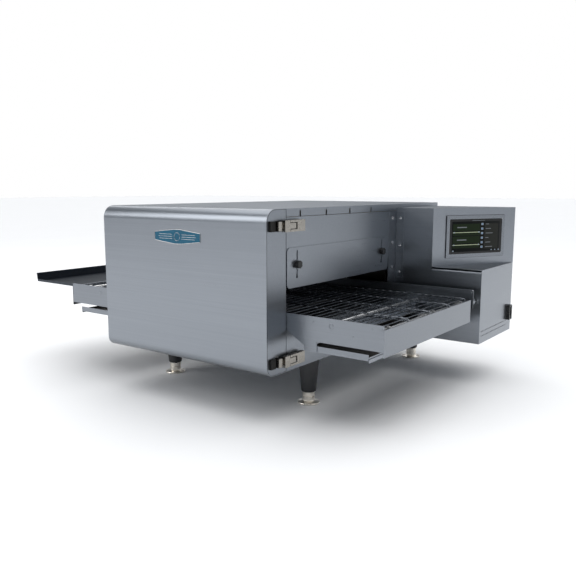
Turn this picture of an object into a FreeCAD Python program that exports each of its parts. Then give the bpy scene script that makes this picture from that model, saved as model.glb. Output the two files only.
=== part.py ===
"""Countertop conveyor oven with a wire belt, a latched front door and a touch control box.

Frame: +Z up, +X along the belt towards the control box, +Y to the back.
The origin is the middle of the bounding box, on the surface that the feet stand on.
All sizes are in millimetres.
"""
import FreeCAD, Part
import itertools
import os
import re

import Sketcher
from FreeCAD import Placement, Rotation, Vector

SIZES = {
    # How far a cutting tool runs past the face that it cuts
    "past": 1,
    # Oven body
    "body_width": 481, "body_depth": 777, "body_height": 330, "leg_height": 103,
    "body_right": 315, "body_front": -399, "wall": 1.2, "lip_gap": 1, "cover_lip": 16,
    "pan_lip": 16, "air_gap": 0.4,
    # Front door, its hinge and its latches
    "door_depth": 62, "seam": 2, "door_top_bend": 28, "door_low_bend": 21, "liner_gap": 14,
    "liner_front": 30, "badge_width": 137, "badge_middle": 31, "badge_end": 18, "badge_tip": 58,
    "badge_centre_z": 371, "badge_thick": 1, "hinge_reach": 5, "hinge_pin": 2.5,
    "hinge_knuckle": 4.5, "hinge_leaf": 26, "hinge_web": 3, "hinge_thick": 1.5, "hinge_tall": 30,
    "hinge_low_z": 150, "hinge_high_z": 399, "fit_gap": 0.05, "latch_high_z": 399.5,
    "latch_low_z": 128.5, "latch_tall": 23, "latch_pivot_out": 8, "latch_nose": 4,
    "latch_long": 49, "latch_face": 14, "latch_back": 3.5, "latch_plate": 44, "latch_web": 2,
    "latch_ear": 1.5, "latch_boss": 2.4, "latch_slot": 22.5, "latch_pin": 1.5, "hook_wide": 11,
    "eye_shift": 1, "hook_thick": 1.5, "hook_arm": 12, "hook_eye": 3.2, "hook_reach": 50,
    "hook_out": 5.5, "hook_head_start": 5.2, "hook_head_end": 22, "hook_post": 11,
    "hook_post_tall": 18, "hook_tongue": 14, "slot_gap": 1.5, "hook_post_thick": 4.5,
    "ear_near": 6.9, "ear_far": 9.4, "ear_long": 8, "pin_start": 9.2, "pin_long": 2.2,
    "base_tall": 18, "lip_inset": 10, "lip_thick": 4, "keeper_deep": 32, "keeper_wide": 20,
    "keeper_lip": 4.9, "keeper_front": 8, "keeper_block": 15, "keeper_plate": 1.5,
    # Baking tunnel and its baffles
    "tunnel_deep": 426, "tunnel_low": 190, "tunnel_high": 300, "tunnel_extra": 10,
    "belt_top": 222, "baffle_low": 272.8, "baffle_high": 355, "baffle_deep": 421,
    "baffle_thick": 1.2, "baffle_corner": 10, "baffle_clip": 7, "knob_z": 320, "knob_inset": 34,
    "knob_radius": 8, "knob_long": 8, "stud_radius": 1.7, "index_pitch": 12.7, "index_hole": 3.2,
    "slot_half": 2.1, "scallop": 2, "flute_count": 6, "flute_ring": 9, "stud_tip": 3,
    "nut_radius": 5, "nut_long": 5,
    # Chamber, air fingers and blower
    "chamber_gap": 12, "chamber_low": 125, "chamber_high": 405, "chamber_rear": 590,
    "finger_side": 22, "finger_front": 80, "finger_rear": 470, "upper_finger_low": 301.2,
    "upper_finger_high": 385, "lower_finger_low": 140, "lower_finger_high": 178.8,
    "jet_radius": 6, "jet_margin": 35, "jet_columns": 8, "jet_rows": 7, "jet_pitch_x": 48,
    "jet_pitch_y": 52, "board_rear": 615, "blower_z": 268, "impeller_radius": 90,
    "impeller_front": 520, "impeller_long": 45, "blade_thick": 2, "blade_count": 12,
    "hub_radius": 22, "blower_shaft": 6, "shaft_gap": 1, "motor_front": 625, "motor_rear": 735,
    "motor_radius": 60, "motor_foot": 30, "motor_inset": 10, "motor_gap": 0.5, "coil_radius": 108,
    "coil_wire": 4, "coil_front": 505, "coil_step": 24, "fan_x": 190, "fan_z": 190,
    "fan_size": 120, "fan_deep": 25, "fan_bore": 56, "fan_hub": 20, "fan_pin": 2.5,
    "fan_gap": 1.5, "fan_spoke": 3, "fan_blade": 50, "fan_blade_count": 7, "vent_radius": 3.5,
    "vent_step": 15,
    # Conveyor
    "conveyor_reach": 221, "rail_top": 225, "rail_thick": 1.5, "rail_notch": 175,
    "runner_low": 154, "runner_high": 166, "tab_start": 44, "tab_end": 74, "tab_slope": 1,
    "runner_end": 189, "runner_deep": 10, "rear_rail": 423, "rear_rail_deep": 11,
    "rear_rail_top": 238, "rear_rail_low": 194, "rail_lip": 6, "belt_wide": 406, "belt_inset": 6,
    "belt_thick": 3, "shaft_inset": 16, "shaft_drop": 15, "shaft_radius": 6,
    "sprocket_radius": 11.4, "collar_radius": 8.9, "tooth_ring": 12.4, "sprocket_thick": 6,
    "sprocket_teeth": 8, "tooth_cut": 3, "bearing_radius": 9, "bearing_long": 5, "tie_radius": 4,
    "tie_count": 5, "tie_pitch": 170, "tie_drop": 11.5, "guard_low": 165, "guard_high": 217,
    "guard_thick": 1.7, "guard_return": 11.7, "guard_rear_gap": 10, "end_tie_low": 178,
    "end_tie_high": 188, "end_tie_deep": 5, "tray_top": 160.5, "tray_start": 48, "tray_wall": 1,
    "pull_low": 150, "pull_high": 157, "landing_long": 164, "landing_floor": 217,
    "landing_thick": 1.5, "landing_lip": 240, "landing_flare": 4, "landing_curb": 6,
    "landing_apron": 168, "tongue_long": 55, "tongue_tall": 7, "coupler_radius": 12,
    "coupler_start": 6, "coupler_long": 20, "coupling": 50, "shaft_tail": 2, "sprocket_first": 36,
    "sprocket_second": 191, "sprocket_third": 236, "sprocket_last": 382,
    # Control box
    "box_wide": 227.5, "box_deep": 222, "box_start": 464, "shelf_z": 281, "hood_top": 424,
    "hood_wide": 101, "box_bend": 10, "screen_start": 39, "screen_wide": 181, "screen_low": 300.5,
    "screen_tall": 105, "bezel_thick": 3, "glass_margin": 9, "screen_deep": 22, "glass_drop": 0.6,
    "board_inset": 12, "board_rise": 4, "board_back": 40, "board_thick": 1.6, "gear_wide": 56,
    "gear_deep": 50, "gear_tall": 60, "gear_start": 480, "gear_right": 18, "gear_shift": 10,
    "gear_motor_radius": 28, "gear_motor_long": 80, "switch_y": 728, "switch_z": 152,
    "switch_wide": 19, "switch_tall": 38, "switch_proud": 8.5, "switch_rim": 3, "switch_deep": 24,
    "switch_shell": 0.7, "switch_floor": 6, "rocker_gap": 1.2, "rocker_back": -3.5,
    "rocker_foot": 5, "rocker_low_in": 3.9, "rocker_low_rise": 1.6, "rocker_low_out": 7.3,
    "rocker_nose_rise": 3, "rocker_middle": 5.1, "rocker_high_out": 3.1, "rocker_top_drop": 2.2,
    "rocker_high_in": 0.3, "rocker_tip_drop": 2.6, "shaft_clear": 1.5, "box_vent_wide": 3.2,
    "box_vent_tall": 3.5, "box_vent_pitch": 9, "box_vent_columns": 20, "box_vent_rows": 2,
    "box_vent_rise": 11, "box_vent_front": 540, "box_vent_low": 119,
    # Legs
    "leg_top_radius": 23.5, "leg_end_radius": 16.5, "leg_end_z": 27, "leg_side": 29.3,
    "leg_front": 186, "leg_rear": 694.5, "stem_radius": 5, "stem_high": 60, "nut_face": 14,
    "foot_radius": 25, "foot_thick": 6, "groove_z": 16, "groove_deep": 1, "groove_tall": 1.5,
    # Small parts
    "screw_radius": 3.6, "screw_tall": 1.4, "screw_back": 445, "screw_low": 275,
    "screw_pitch": 62, "screw_count": 3, "gland_x": 0, "gland_z": 140, "gland_radius": 14,
    "gland_long": 22, "gland_thread": 10, "gland_nose": 11, "gland_nut": 8, "gland_inside": 12,
    "gland_bore": 6, "notch_wide": 5, "notch_tall": 11, "notch_first": 47, "notch_pitch": 96,
    "notch_count": 4, "wire_hole": 14, "wire_hole_back": 60,
}

doc = FreeCAD.newDocument("conveyor_oven")
sheet = doc.addObject("Spreadsheet::Sheet", "sizes")
for row, (alias, number) in enumerate(SIZES.items(), start=1):
    sheet.set(f"A{row}", alias)
    sheet.set(f"B{row}", str(number))
    sheet.setAlias(f"B{row}", alias)
doc.recompute()

# Places that several pieces share, written as expressions of the driving sizes
RIGHT = "body_right"
LEFT = "(body_right - body_width)"
MIDDLE = "(body_right - body_width / 2)"
FRONT = "body_front"
SEAM = "(body_front + door_depth)"
SHELL = "(body_front + door_depth + seam)"
REAR = "(body_front + body_depth)"
LOW = "leg_height"
HIGH = "(leg_height + body_height)"
LIP = "(leg_height + body_height - cover_lip)"
SHAFT_Z = "(belt_top - shaft_drop)"
BOX_FRONT = "(body_front + door_depth + seam + box_start)"
BOX_REAR = "(body_front + door_depth + seam + box_start + box_deep)"
REAR_RAIL = f"({SHELL} + rear_rail)"
RAIL_BACK = f"({REAR_RAIL} + rear_rail_deep)"

# Half the width and height of the power switch's body inside its rim
SWITCH_HALF_WIDE = "(switch_wide / 2 - switch_rim)"
SWITCH_HALF_TALL = "(switch_tall / 2 - switch_rim)"

# The two ends of the oven: outward sign and the oven's end face
ENDS = {"right": (1, RIGHT), "left": (-1, LEFT)}

subparts = []


def bound(text):
    """Point every name in an expression at its cell in the sheet."""
    functions = ("atan2", "cos", "sin", "sqrt")
    return re.sub(r"[a-z][a-z_]*\d*", lambda m: m[0] if m[0] in functions else "sizes." + m[0], text)


def bind(item, field, text):
    """Drive one property of an object from the sheet."""
    item.setExpression(field, bound(text))


def number(name):
    """Read one size, for counts that loops need."""
    return sheet.get(name)


def out(end, distance):
    """An X position, measured outwards from one end face of the oven."""
    sign, face = ENDS[end]
    return f"({face} + ({distance}))" if sign > 0 else f"({face} - ({distance}))"


def span(end, near, far):
    """An X range between two distances outwards from an end face, lowest first."""
    pair = (out(end, near), out(end, far))
    return pair if ENDS[end][0] > 0 else pair[::-1]


def back(distance):
    """A Y position, measured back from the oven's front face."""
    return f"(body_front + ({distance}))"


def inside(distance):
    """A Y position, measured back from the front edge of the fixed shell."""
    return f"({SHELL} + ({distance}))"


def about(middle, half):
    """A range that reaches half its width each way from its middle."""
    return f"({middle} - {half})", f"({middle} + {half})"


def beyond(pair):
    """A range made longer at both ends, for a tool that cuts right through."""
    return f"({pair[0]} - past)", f"({pair[1]} + past)"


def sorted_pair(near, far, side):
    """A range written lowest first for a direction of +1 or -1."""
    return (near, far) if side > 0 else (far, near)


def seat(item, x, y, z):
    """Drive an object's position."""
    for axis, text in zip("xyz", (x, y, z)):
        bind(item, f"Placement.Base.{axis}", text)


def subpart(item, name):
    """Name a finished piece and list it for writing."""
    item.Label = name
    subparts.append(item)
    return item


def block(x, y, z):
    """A box between lower and upper expressions on each axis."""
    item = doc.addObject("Part::Box", "block")
    for field, pair in zip(("Length", "Width", "Height"), (x, y, z)):
        bind(item, field, f"({pair[1]}) - ({pair[0]})")
    seat(item, x[0], y[0], z[0])
    return item


TURNS = {
    "x": Rotation(Vector(0, 1, 0), 90),
    "y": Rotation(Vector(1, 0, 0), -90),
    "z": Rotation(),
}


def rod(along, radius, x, y, z, length):
    """A cylinder that starts at a point and runs along +X, +Y or +Z."""
    item = doc.addObject("Part::Cylinder", "rod")
    bind(item, "Radius", radius)
    bind(item, "Height", length)
    item.Placement = Placement(Vector(), TURNS[along])
    seat(item, x, y, z)
    return item


def cone(low_radius, high_radius, x, y, z, length):
    """An upright truncated cone."""
    item = doc.addObject("Part::Cone", "cone")
    bind(item, "Radius1", low_radius)
    bind(item, "Radius2", high_radius)
    bind(item, "Height", length)
    seat(item, x, y, z)
    return item


def join(*pieces):
    """One shape from pieces; pieces that don't touch stay separate solids."""
    item = doc.addObject("Part::MultiFuse", "join")
    item.Shapes = list(pieces)
    return item


def cut(base, *tools):
    """A base with one or more tools taken away."""
    item = doc.addObject("Part::Cut", "cut")
    item.Base = base
    item.Tool = tools[0] if len(tools) == 1 else join(*tools)
    return item


def hollow(x, y, z, wall, open_sides=()):
    """A box shell of one wall thickness, open on the named sides."""
    ranges = []
    for low_side, high_side, pair in (("left", "right", x), ("front", "rear", y), ("bottom", "top", z)):
        low = f"{pair[0]} - {wall}" if low_side in open_sides else f"{pair[0]} + {wall}"
        high = f"{pair[1]} + {wall}" if high_side in open_sides else f"{pair[1]} - {wall}"
        ranges.append((f"({low})", f"({high})"))
    return cut(block(x, y, z), block(*ranges))


def origin_plane(body, role):
    """One of a body's own origin planes."""
    return next(f for f in body.Origin.OriginFeatures if f.Role == role)


def sketch_on(body, plane, offset):
    """An empty sketch, moved along its plane's normal by an expression."""
    sketch = body.newObject("Sketcher::SketchObject", "outline")
    sketch.AttachmentSupport = [(origin_plane(body, plane + "_Plane"), "")]
    sketch.MapMode = "FlatFace"
    bind(sketch, "AttachmentOffset.Base.z", offset)
    return sketch


def draw_outline(sketch, points):
    """A closed outline whose corners are all driven by the sheet."""
    count = len(points)
    start = [Vector(10, 0, 0)] * count
    turn = Rotation(Vector(0, 0, 1), 360 / count)
    for index in range(1, count):
        start[index] = turn.multVec(start[index - 1])
    for index in range(count):
        sketch.addGeometry(Part.LineSegment(start[index], start[(index + 1) % count]), False)
    for index in range(count):
        sketch.addConstraint(Sketcher.Constraint("Coincident", index, 2, (index + 1) % count, 1))
    for index, point in enumerate(points):
        for kind, place, text in zip(("DistanceX", "DistanceY"), start[index], point):
            made = sketch.addConstraint(Sketcher.Constraint(kind, index, 1, place))
            bind(sketch, f"Constraints[{made}]", text)


def draw_circle(sketch, u, v, radius):
    """A circle whose centre and radius are driven by the sheet."""
    circle = sketch.addGeometry(Part.Circle(Vector(), Vector(0, 0, 1), 1), False)
    made = sketch.addConstraint(Sketcher.Constraint("Radius", circle, 1))
    bind(sketch, f"Constraints[{made}]", radius)
    for kind, text in (("DistanceX", u), ("DistanceY", v)):
        made = sketch.addConstraint(Sketcher.Constraint(kind, circle, 3, 1))
        bind(sketch, f"Constraints[{made}]", text)


def prism(plane, points, low, high):
    """A body whose outline lies on an origin plane and runs from low to high across it."""
    body = doc.addObject("PartDesign::Body", "prism")
    sketch = sketch_on(body, plane, f"-({high})" if plane == "XZ" else low)
    draw_outline(sketch, points)
    pad = body.newObject("PartDesign::Pad", "pad")
    pad.Profile = sketch
    bind(pad, "Length", f"({high}) - ({low})")
    sketch.Visibility = False
    return body


def rounded(body, radius, chosen):
    """Round the edges of a body's last feature that a test picks."""
    doc.recompute()
    tip = body.Tip
    names = [f"Edge{i}" for i, edge in enumerate(tip.Shape.Edges, start=1) if chosen(edge)]
    fillet = body.newObject("PartDesign::Fillet", "bend")
    fillet.Base = (tip, names)
    bind(fillet, "Radius", radius)
    return body


def corner_edge(axis, **near):
    """A test for straight edges along one axis that pass near a corner given by sizes."""
    def test(edge):
        ends = [vertex.Point for vertex in edge.Vertexes]
        if len(ends) < 2 or (ends[1] - ends[0]).normalize().getAngle(axis) % 3.14 > 0.02:
            return False
        middle = (ends[0] + ends[1]) * 0.5
        return all(abs(getattr(middle, name) - value) < 0.01 for name, value in near.items())
    return test


def bored(body, plane, circles):
    """Cut round holes right through a body, across an origin plane."""
    sketch = sketch_on(body, plane, "0")
    for u, v, radius in circles:
        draw_circle(sketch, u, v, radius)
    return pocket_through(body, sketch)


def pocket_through(body, sketch):
    """A pocket both ways through everything."""
    pocket = body.newObject("PartDesign::Pocket", "holes")
    pocket.Profile = sketch
    pocket.Type = "ThroughAll"
    pocket.SideType = "Symmetric"
    sketch.Visibility = False
    return pocket


def hole_grid(body, plane, first, radius, columns, pitch_u, rows, pitch_v):
    """A grid of round holes, made from one hole by a two-way pattern."""
    pocket = bored(body, plane, [(first[0], first[1], radius)])
    doc.recompute()
    pattern = body.newObject("PartDesign::LinearPattern", "grid")
    pattern.Originals = [pocket]
    sketch = pocket.Profile[0]
    pattern.Direction = (sketch, ["H_Axis"])
    pattern.Direction2 = (sketch, ["V_Axis"])
    bind(pattern, "Length", f"({columns} - 1) * {pitch_u}")
    bind(pattern, "Length2", f"({rows} - 1) * {pitch_v}")
    bind(pattern, "Occurrences", columns)
    bind(pattern, "Occurrences2", rows)
    body.Tip = pattern
    return body


def hole_ring(body, centre, step, radius, count):
    """Holes on a circle round a centre, on the XZ plane."""
    pocket = bored(body, "XZ", [(f"{centre[0]} + {step}", centre[1], radius)])
    doc.recompute()
    axis = body.newObject("Sketcher::SketchObject", "ring_centre")
    axis.AttachmentSupport = [(origin_plane(body, "XZ_Plane"), "")]
    axis.MapMode = "FlatFace"
    bind(axis, "AttachmentOffset.Base.x", centre[0])
    bind(axis, "AttachmentOffset.Base.y", centre[1])
    pattern = body.newObject("PartDesign::PolarPattern", "ring")
    pattern.Originals = [pocket]
    pattern.Axis = (axis, ["N_Axis"])
    pattern.Angle = 360
    pattern.Occurrences = count
    body.Tip = pattern
    return body


def rectangle(u, v):
    """The four corners of a rectangle."""
    return [(u[0], v[0]), (u[1], v[0]), (u[1], v[1]), (u[0], v[1])]


# Oven shell -----------------------------------------------------------------------------


def make_base_pan():
    """The floor of the oven, a shallow tray with its edges turned up."""
    pan = hollow((f"{LEFT} + wall", f"{RIGHT} - wall"), (SHELL, f"{REAR} - wall"),
                 (LOW, f"{LOW} + pan_lip"), "wall", ("top",))
    subpart(pan, "base_pan")


def leg_places():
    """Centres of the four legs."""
    for y in (back("leg_front"), back("leg_rear")):
        for end in ENDS:
            yield out(end, "-leg_side"), y


def make_top_cover():
    """The roof sheet with its edges turned down and a row of slots in each end lip."""
    cover = hollow((LEFT, RIGHT), (SHELL, REAR), (LIP, HIGH), "wall", ("bottom", "front"))
    slots = []
    for index in range(int(number("notch_count"))):
        middle = inside(f"notch_first + {index} * notch_pitch")
        slots.append(block(beyond((LEFT, RIGHT)), about(middle, "notch_wide / 2"),
                           (f"{LIP} - past", f"{LIP} + notch_tall")))
    subpart(cut(cover, *slots), "top_cover")


def make_rear_panel():
    """The back sheet, with rings of vent holes behind the cooling fan."""
    outline = rectangle((f"{LEFT} + wall", f"{RIGHT} - wall"), (LOW, LIP))
    panel = prism("XZ", outline, f"{REAR} - wall", REAR)
    bored(panel, "XZ", [("gland_x", "gland_z", "gland_thread")])
    for ring in (1, 2, 3):
        hole_ring(panel, ("fan_x", "fan_z"), f"{ring} * vent_step", "vent_radius", 8 * ring)
    subpart(panel, "rear_panel")


def make_end_panel(end):
    """One end sheet, notched from the front for the baking tunnel."""
    x = span(end, "-wall", "0")
    sheet_side = block(x, (SHELL, f"{REAR} - wall"), (LOW, f"{LIP} - lip_gap"))
    over = beyond(x)
    tunnel = block(over, (f"{SHELL} - past", inside("tunnel_deep")), ("tunnel_low", "tunnel_high"))
    rail = block(over, (f"{SHELL} - past", f"{RAIL_BACK} + past"), ("tunnel_low", "rear_rail_top + past"))
    tools = [tunnel, rail]
    for y in knob_places():
        tools.append(rod("x", "stud_radius + fit_gap", over[0], y, "knob_z", "wall + 2 * past"))
    if end == "right":
        wire_y = f"{BOX_FRONT} + wire_hole_back"
        tools.append(rod("x", "wire_hole", over[0], wire_y, SHAFT_Z, "wall + 2 * past"))
    nuts = [baffle_nut(end, y) for y in knob_places()]
    subpart(join(cut(sheet_side, *tools), *nuts), f"{end}_end_panel")


def knob_places():
    """Y positions of the two knobs that clamp a baffle."""
    return inside("knob_inset"), inside("baffle_deep - knob_inset")


def baffle_nut(end, y):
    """A round weld nut inside an end sheet."""
    x = span(end, "-wall - nut_long", "-wall")
    ring = rod("x", "nut_radius", x[0], y, "knob_z", "nut_long")
    bore = rod("x", "stud_radius + fit_gap", f"{x[0]} - past", y, "knob_z", "nut_long + 2 * past")
    return cut(ring, bore)


# Baking chamber -------------------------------------------------------------------------


def chamber_x():
    """X range of the chamber's steel liner."""
    return f"({LEFT} + chamber_gap)", f"({RIGHT} - chamber_gap)"


def make_chamber_liner():
    """The inner steel box, open to the front, with a tunnel notch in each side."""
    x = chamber_x()
    liner = hollow(x, (SHELL, back("chamber_rear")), ("chamber_low", "chamber_high"), "wall", ("front",))
    tunnel = block(beyond(x), (f"{SHELL} - past", inside("tunnel_deep + tunnel_extra")),
                   ("tunnel_low", "tunnel_high"))
    shaft = rod("y", "blower_shaft + shaft_gap", MIDDLE, back("chamber_rear - 2 * wall"), "blower_z",
                "4 * wall")
    subpart(cut(liner, tunnel, shaft), "chamber_liner")


def make_insulation():
    """Mineral wool boards over, under and behind the chamber."""
    x = chamber_x()
    over = block(x, (SHELL, back("chamber_rear")), ("chamber_high", f"{HIGH} - wall"))
    under = block(x, (inside("wall"), back("chamber_rear")), (f"{LOW} + wall", "chamber_low"))
    behind = block(x, (back("chamber_rear"), back("board_rear")), ("chamber_low", "chamber_high"))
    shaft = rod("y", "blower_shaft + shaft_gap", MIDDLE, back("chamber_rear - past"), "blower_z",
                "board_rear - chamber_rear + 2 * past")
    subpart(join(over, under, cut(behind, shaft)), "chamber_insulation")


def finger_x():
    """X range of the air fingers."""
    return f"({LEFT} + finger_side)", f"({RIGHT} - finger_side)"


def make_finger(name, z, open_side, plate_z):
    """A hollow air duct over or under the belt, and the jet plate that closes it."""
    y = (back("finger_front"), back("finger_rear"))
    duct = hollow(finger_x(), y, z, "wall", (open_side, "rear"))
    subpart(duct, f"{name}_air_finger")
    plate = prism("XY", rectangle(finger_x(), y), *plate_z)
    first = (f"{MIDDLE} - (jet_columns - 1) * jet_pitch_x / 2", back("finger_front + jet_margin"))
    hole_grid(plate, "XY", first, "jet_radius", "jet_columns", "jet_pitch_x", "jet_rows", "jet_pitch_y")
    subpart(plate, f"{name}_jet_plate")


def make_blower():
    """The squirrel-cage impeller and its shaft, the coil heater round it, and the motor."""
    front = back("impeller_front")
    wheel = [
        rod("y", "impeller_radius", MIDDLE, f"{front} + impeller_long", "blower_z", "blade_thick"),
        rod("y", "hub_radius", MIDDLE, front, "blower_z", "impeller_long + past"),
        rod("y", "blower_shaft", MIDDLE, front, "blower_z", "motor_front - impeller_front - motor_gap"),
    ]
    for index in range(int(number("blade_count"))):
        angle = f"({index} * 360 / blade_count)"
        wheel.append(radial_blade(angle, (MIDDLE, "blower_z"), front, "hub_radius", "impeller_radius",
                                  "impeller_long + past"))
    subpart(join(*wheel), "blower_impeller")
    body = rod("y", "motor_radius", MIDDLE, back("motor_front"), "blower_z", "motor_rear - motor_front")
    foot_y = (back("motor_front + motor_inset"), back("motor_rear - motor_inset"))
    foot = block(about(MIDDLE, "motor_foot"), foot_y, (f"{LOW} + wall", "blower_z - motor_radius / 2"))
    subpart(join(body, foot), "blower_motor")
    coils = []
    for turn in (0, 1):
        ring = doc.addObject("Part::Torus", "coil")
        bind(ring, "Radius1", "coil_radius")
        bind(ring, "Radius2", "coil_wire")
        ring.Placement = Placement(Vector(), TURNS["y"] * Rotation(Vector(0, 0, 1), 45))
        seat(ring, MIDDLE, back(f"coil_front + {turn} * coil_step"), "blower_z")
        coils.append(ring)
    for side in (-1, 1):
        x = f"{MIDDLE} + {side} * coil_radius"
        coils.append(rod("y", "coil_wire", x, back("coil_front"), "blower_z",
                         "chamber_rear - wall - coil_front"))
    subpart(join(*coils), "heating_element")


def radial_blade(angle, centre, front, hub, tip, deep):
    """One flat blade from inside a hub to a tip radius, turned about a front-to-back axis."""
    blade = doc.addObject("Part::Box", "blade")
    reach = f"({hub} / 2)"
    bind(blade, "Length", f"{tip} - {reach}")
    bind(blade, "Width", deep)
    bind(blade, "Height", "blade_thick")
    blade.Placement = Placement(Vector(), Rotation(Vector(0, -1, 0), 1))
    bind(blade, "Placement.Rotation.Angle", angle)
    seat(blade, f"{centre[0]} + {reach} * cos({angle})", front,
         f"{centre[1]} + {reach} * sin({angle})")
    return blade


def make_cooling_fan():
    """The axial fan that cools the motor space, inside the back sheet."""
    x, z = about("fan_x", "fan_size / 2"), about("fan_z", "fan_size / 2")
    y = (f"({REAR} - wall - fan_deep)", f"({REAR} - wall)")
    bore = rod("y", "fan_bore", "fan_x", f"{y[0]} - past", "fan_z", "fan_deep + 2 * past")
    pin = rod("y", "fan_pin", "fan_x", f"{y[0]} + fan_gap", "fan_z", "fan_deep - fan_gap")
    spoke = block(x, (f"{y[1]} - fan_spoke", y[1]), about("fan_z", "fan_spoke"))
    subpart(join(cut(block(x, y, z), bore), pin, spoke), "cooling_fan_frame")
    front = f"{y[0]} + fan_gap"
    deep = "(fan_deep - 2 * fan_gap - fan_spoke)"
    pieces = [rod("y", "fan_hub", "fan_x", front, "fan_z", deep)]
    for index in range(int(number("fan_blade_count"))):
        angle = f"({index} * 360 / fan_blade_count)"
        pieces.append(radial_blade(angle, ("fan_x", "fan_z"), front, "fan_hub", "fan_blade",
                                   f"{deep} - past"))
    hole = rod("y", "fan_pin + fit_gap", "fan_x", f"{y[0]} - past", "fan_z", "fan_deep + 2 * past")
    subpart(cut(join(*pieces), hole), "cooling_fan_rotor")


# Front door -----------------------------------------------------------------------------


def make_door():
    """The wrap-round front, its inner liner and its badge plate."""
    skin = cut(door_shape("0", "door_top_bend", "door_low_bend", SEAM),
               door_shape("wall", "door_top_bend - wall", "door_low_bend - wall", f"{SEAM} + wall"))
    subpart(skin, "front_door_skin")
    x = (f"{LEFT} + liner_gap", f"{RIGHT} - liner_gap")
    liner = hollow(x, (back("liner_front"), SEAM), ("chamber_low", "chamber_high"), "wall", ("front",))
    flange = block((f"{LEFT} + wall", f"{RIGHT} - wall"), (f"{SEAM} - wall", SEAM),
                   (f"{LOW} + wall", f"{HIGH} - wall"))
    middle = block(x, (f"{SEAM} - wall - past", f"{SEAM} + past"), ("chamber_low", "chamber_high"))
    subpart(join(cut(flange, middle), liner), "front_door_liner")
    upper = [("-1", "badge_end"), ("-1", "badge_middle"), ("1", "badge_middle"), ("1", "badge_end")]
    points = []
    for row, half in (("+", upper), ("-", upper[::-1])):
        for side, tall in half:
            reach = "badge_width / 2" if tall == "badge_end" else "(badge_width / 2 - badge_tip)"
            points.append((f"{MIDDLE} + {side} * {reach}", f"badge_centre_z {row} {tall} / 2"))
    subpart(prism("XZ", points, f"{FRONT} - badge_thick", FRONT), "badge_plate")


def door_shape(inset, top_bend, low_bend, rear):
    """A solid block with the door's two rolled edges, inset on its outer faces."""
    points = rectangle((f"({FRONT} + {inset})", rear), (f"({LOW} + {inset})", f"({HIGH} - {inset})"))
    shape = prism("YZ", points, f"({LEFT} + {inset})", f"({RIGHT} - {inset})")
    doc.recompute()
    bounds = shape.Shape.BoundBox
    along = Vector(1, 0, 0)
    rounded(shape, top_bend, corner_edge(along, y=bounds.YMin, z=bounds.ZMax))
    rounded(shape, low_bend, corner_edge(along, y=bounds.YMin, z=bounds.ZMin))
    return shape


def make_door_hinges():
    """Two lift hinges outside the left end: leaves and pins on the oven, knuckles on the door."""
    fixed = []
    moving = []
    x = f"({LEFT} - hinge_reach)"
    y = f"({SEAM} + seam / 2)"
    leaf = (f"{LEFT} - hinge_thick", LEFT)
    third = "(hinge_tall / 3)"
    for z in ("hinge_low_z", "hinge_high_z"):
        tall = about(z, "hinge_tall / 2")
        fixed.append(block(leaf, (f"{y} + hinge_web", f"{y} + hinge_leaf"), tall))
        moving.append(block(leaf, (f"{y} - hinge_leaf", f"{y} - hinge_web"), tall))
        for start in (tall[0], f"({tall[0]} + 2 * {third})"):
            fixed.append(rod("z", "hinge_knuckle", x, y, start, third))
            fixed.append(block(leaf, (y, f"{y} + hinge_web + past"), (start, f"{start} + {third}")))
        fixed.append(rod("z", "hinge_pin", x, y, tall[0], "hinge_tall"))
        low, high = f"({tall[0]} + {third} + air_gap)", f"({tall[0]} + 2 * {third} - air_gap)"
        knuckle = join(rod("z", "hinge_knuckle", x, y, low, f"{third} - 2 * air_gap"),
                       block(leaf, (f"{y} - hinge_web - past", y), (low, high)))
        moving.append(cut(knuckle, rod("z", "hinge_pin + fit_gap", x, y, tall[0], "hinge_tall")))
    subpart(join(*fixed), "door_hinge_leaves")
    subpart(join(*moving), "door_hinge_knuckles")


def latch_axis():
    """X and Y of a latch lever's pivot."""
    return f"({RIGHT} + latch_pivot_out)", SHELL


def make_latches():
    """Two draw latches on the right end, with their bases and the keepers on the door."""
    bases = []
    keepers = []
    for name, z in (("upper", "latch_high_z"), ("lower", "latch_low_z")):
        bases.append(latch_base(z))
        keepers.append(latch_keeper(z))
        subpart(latch_lever(z), f"{name}_latch_lever")
        subpart(latch_hook(z), f"{name}_latch_hook")
    subpart(join(*bases), "latch_bases")
    subpart(join(*keepers), "latch_keepers")


def latch_base(z):
    """A plate on the end sheet with two ears and a stub pin on each."""
    px, py = latch_axis()
    plate = block((RIGHT, f"{RIGHT} + wall"), (SHELL, inside("latch_plate")),
                  (f"{z} - base_tall / 2", f"{z} + base_tall / 2"))
    pieces = [plate]
    for side in (-1, 1):
        tall = sorted_pair(f"({z} + {side} * ear_near)", f"({z} + {side} * ear_far)", side)
        pieces.append(block((RIGHT, f"{px} + latch_boss"), (SHELL, f"{py} + ear_long"), tall))
        boss = (f"{py} - latch_boss", f"{py} + past")
        pieces.append(block((f"{RIGHT} + wall", f"{px} + latch_boss"), boss, tall))
        pin = sorted_pair(f"({z} + {side} * pin_start)", f"({z} + {side} * (pin_start + pin_long))", side)
        pieces.append(rod("z", "latch_pin", px, py, pin[0], "pin_long"))
    return join(*pieces)


def latch_keeper(z):
    """The strike on the door's end, with a lip that the hook lies over."""
    y = (back("keeper_front"), back("keeper_front + keeper_deep"))
    wide = (f"{z} - keeper_wide / 2", f"{z} + keeper_wide / 2")
    plate = block((RIGHT, f"{RIGHT} + keeper_plate"), y, wide)
    lip_y = (f"{y[1]} - lip_inset", f"{y[1]} - lip_inset + lip_thick")
    lip = block((RIGHT, f"{RIGHT} + keeper_lip"), lip_y, wide)
    stop = block((RIGHT, f"{RIGHT} + keeper_lip"), (y[0], f"{y[0]} + keeper_block"), wide)
    return join(plate, lip, stop)


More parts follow.
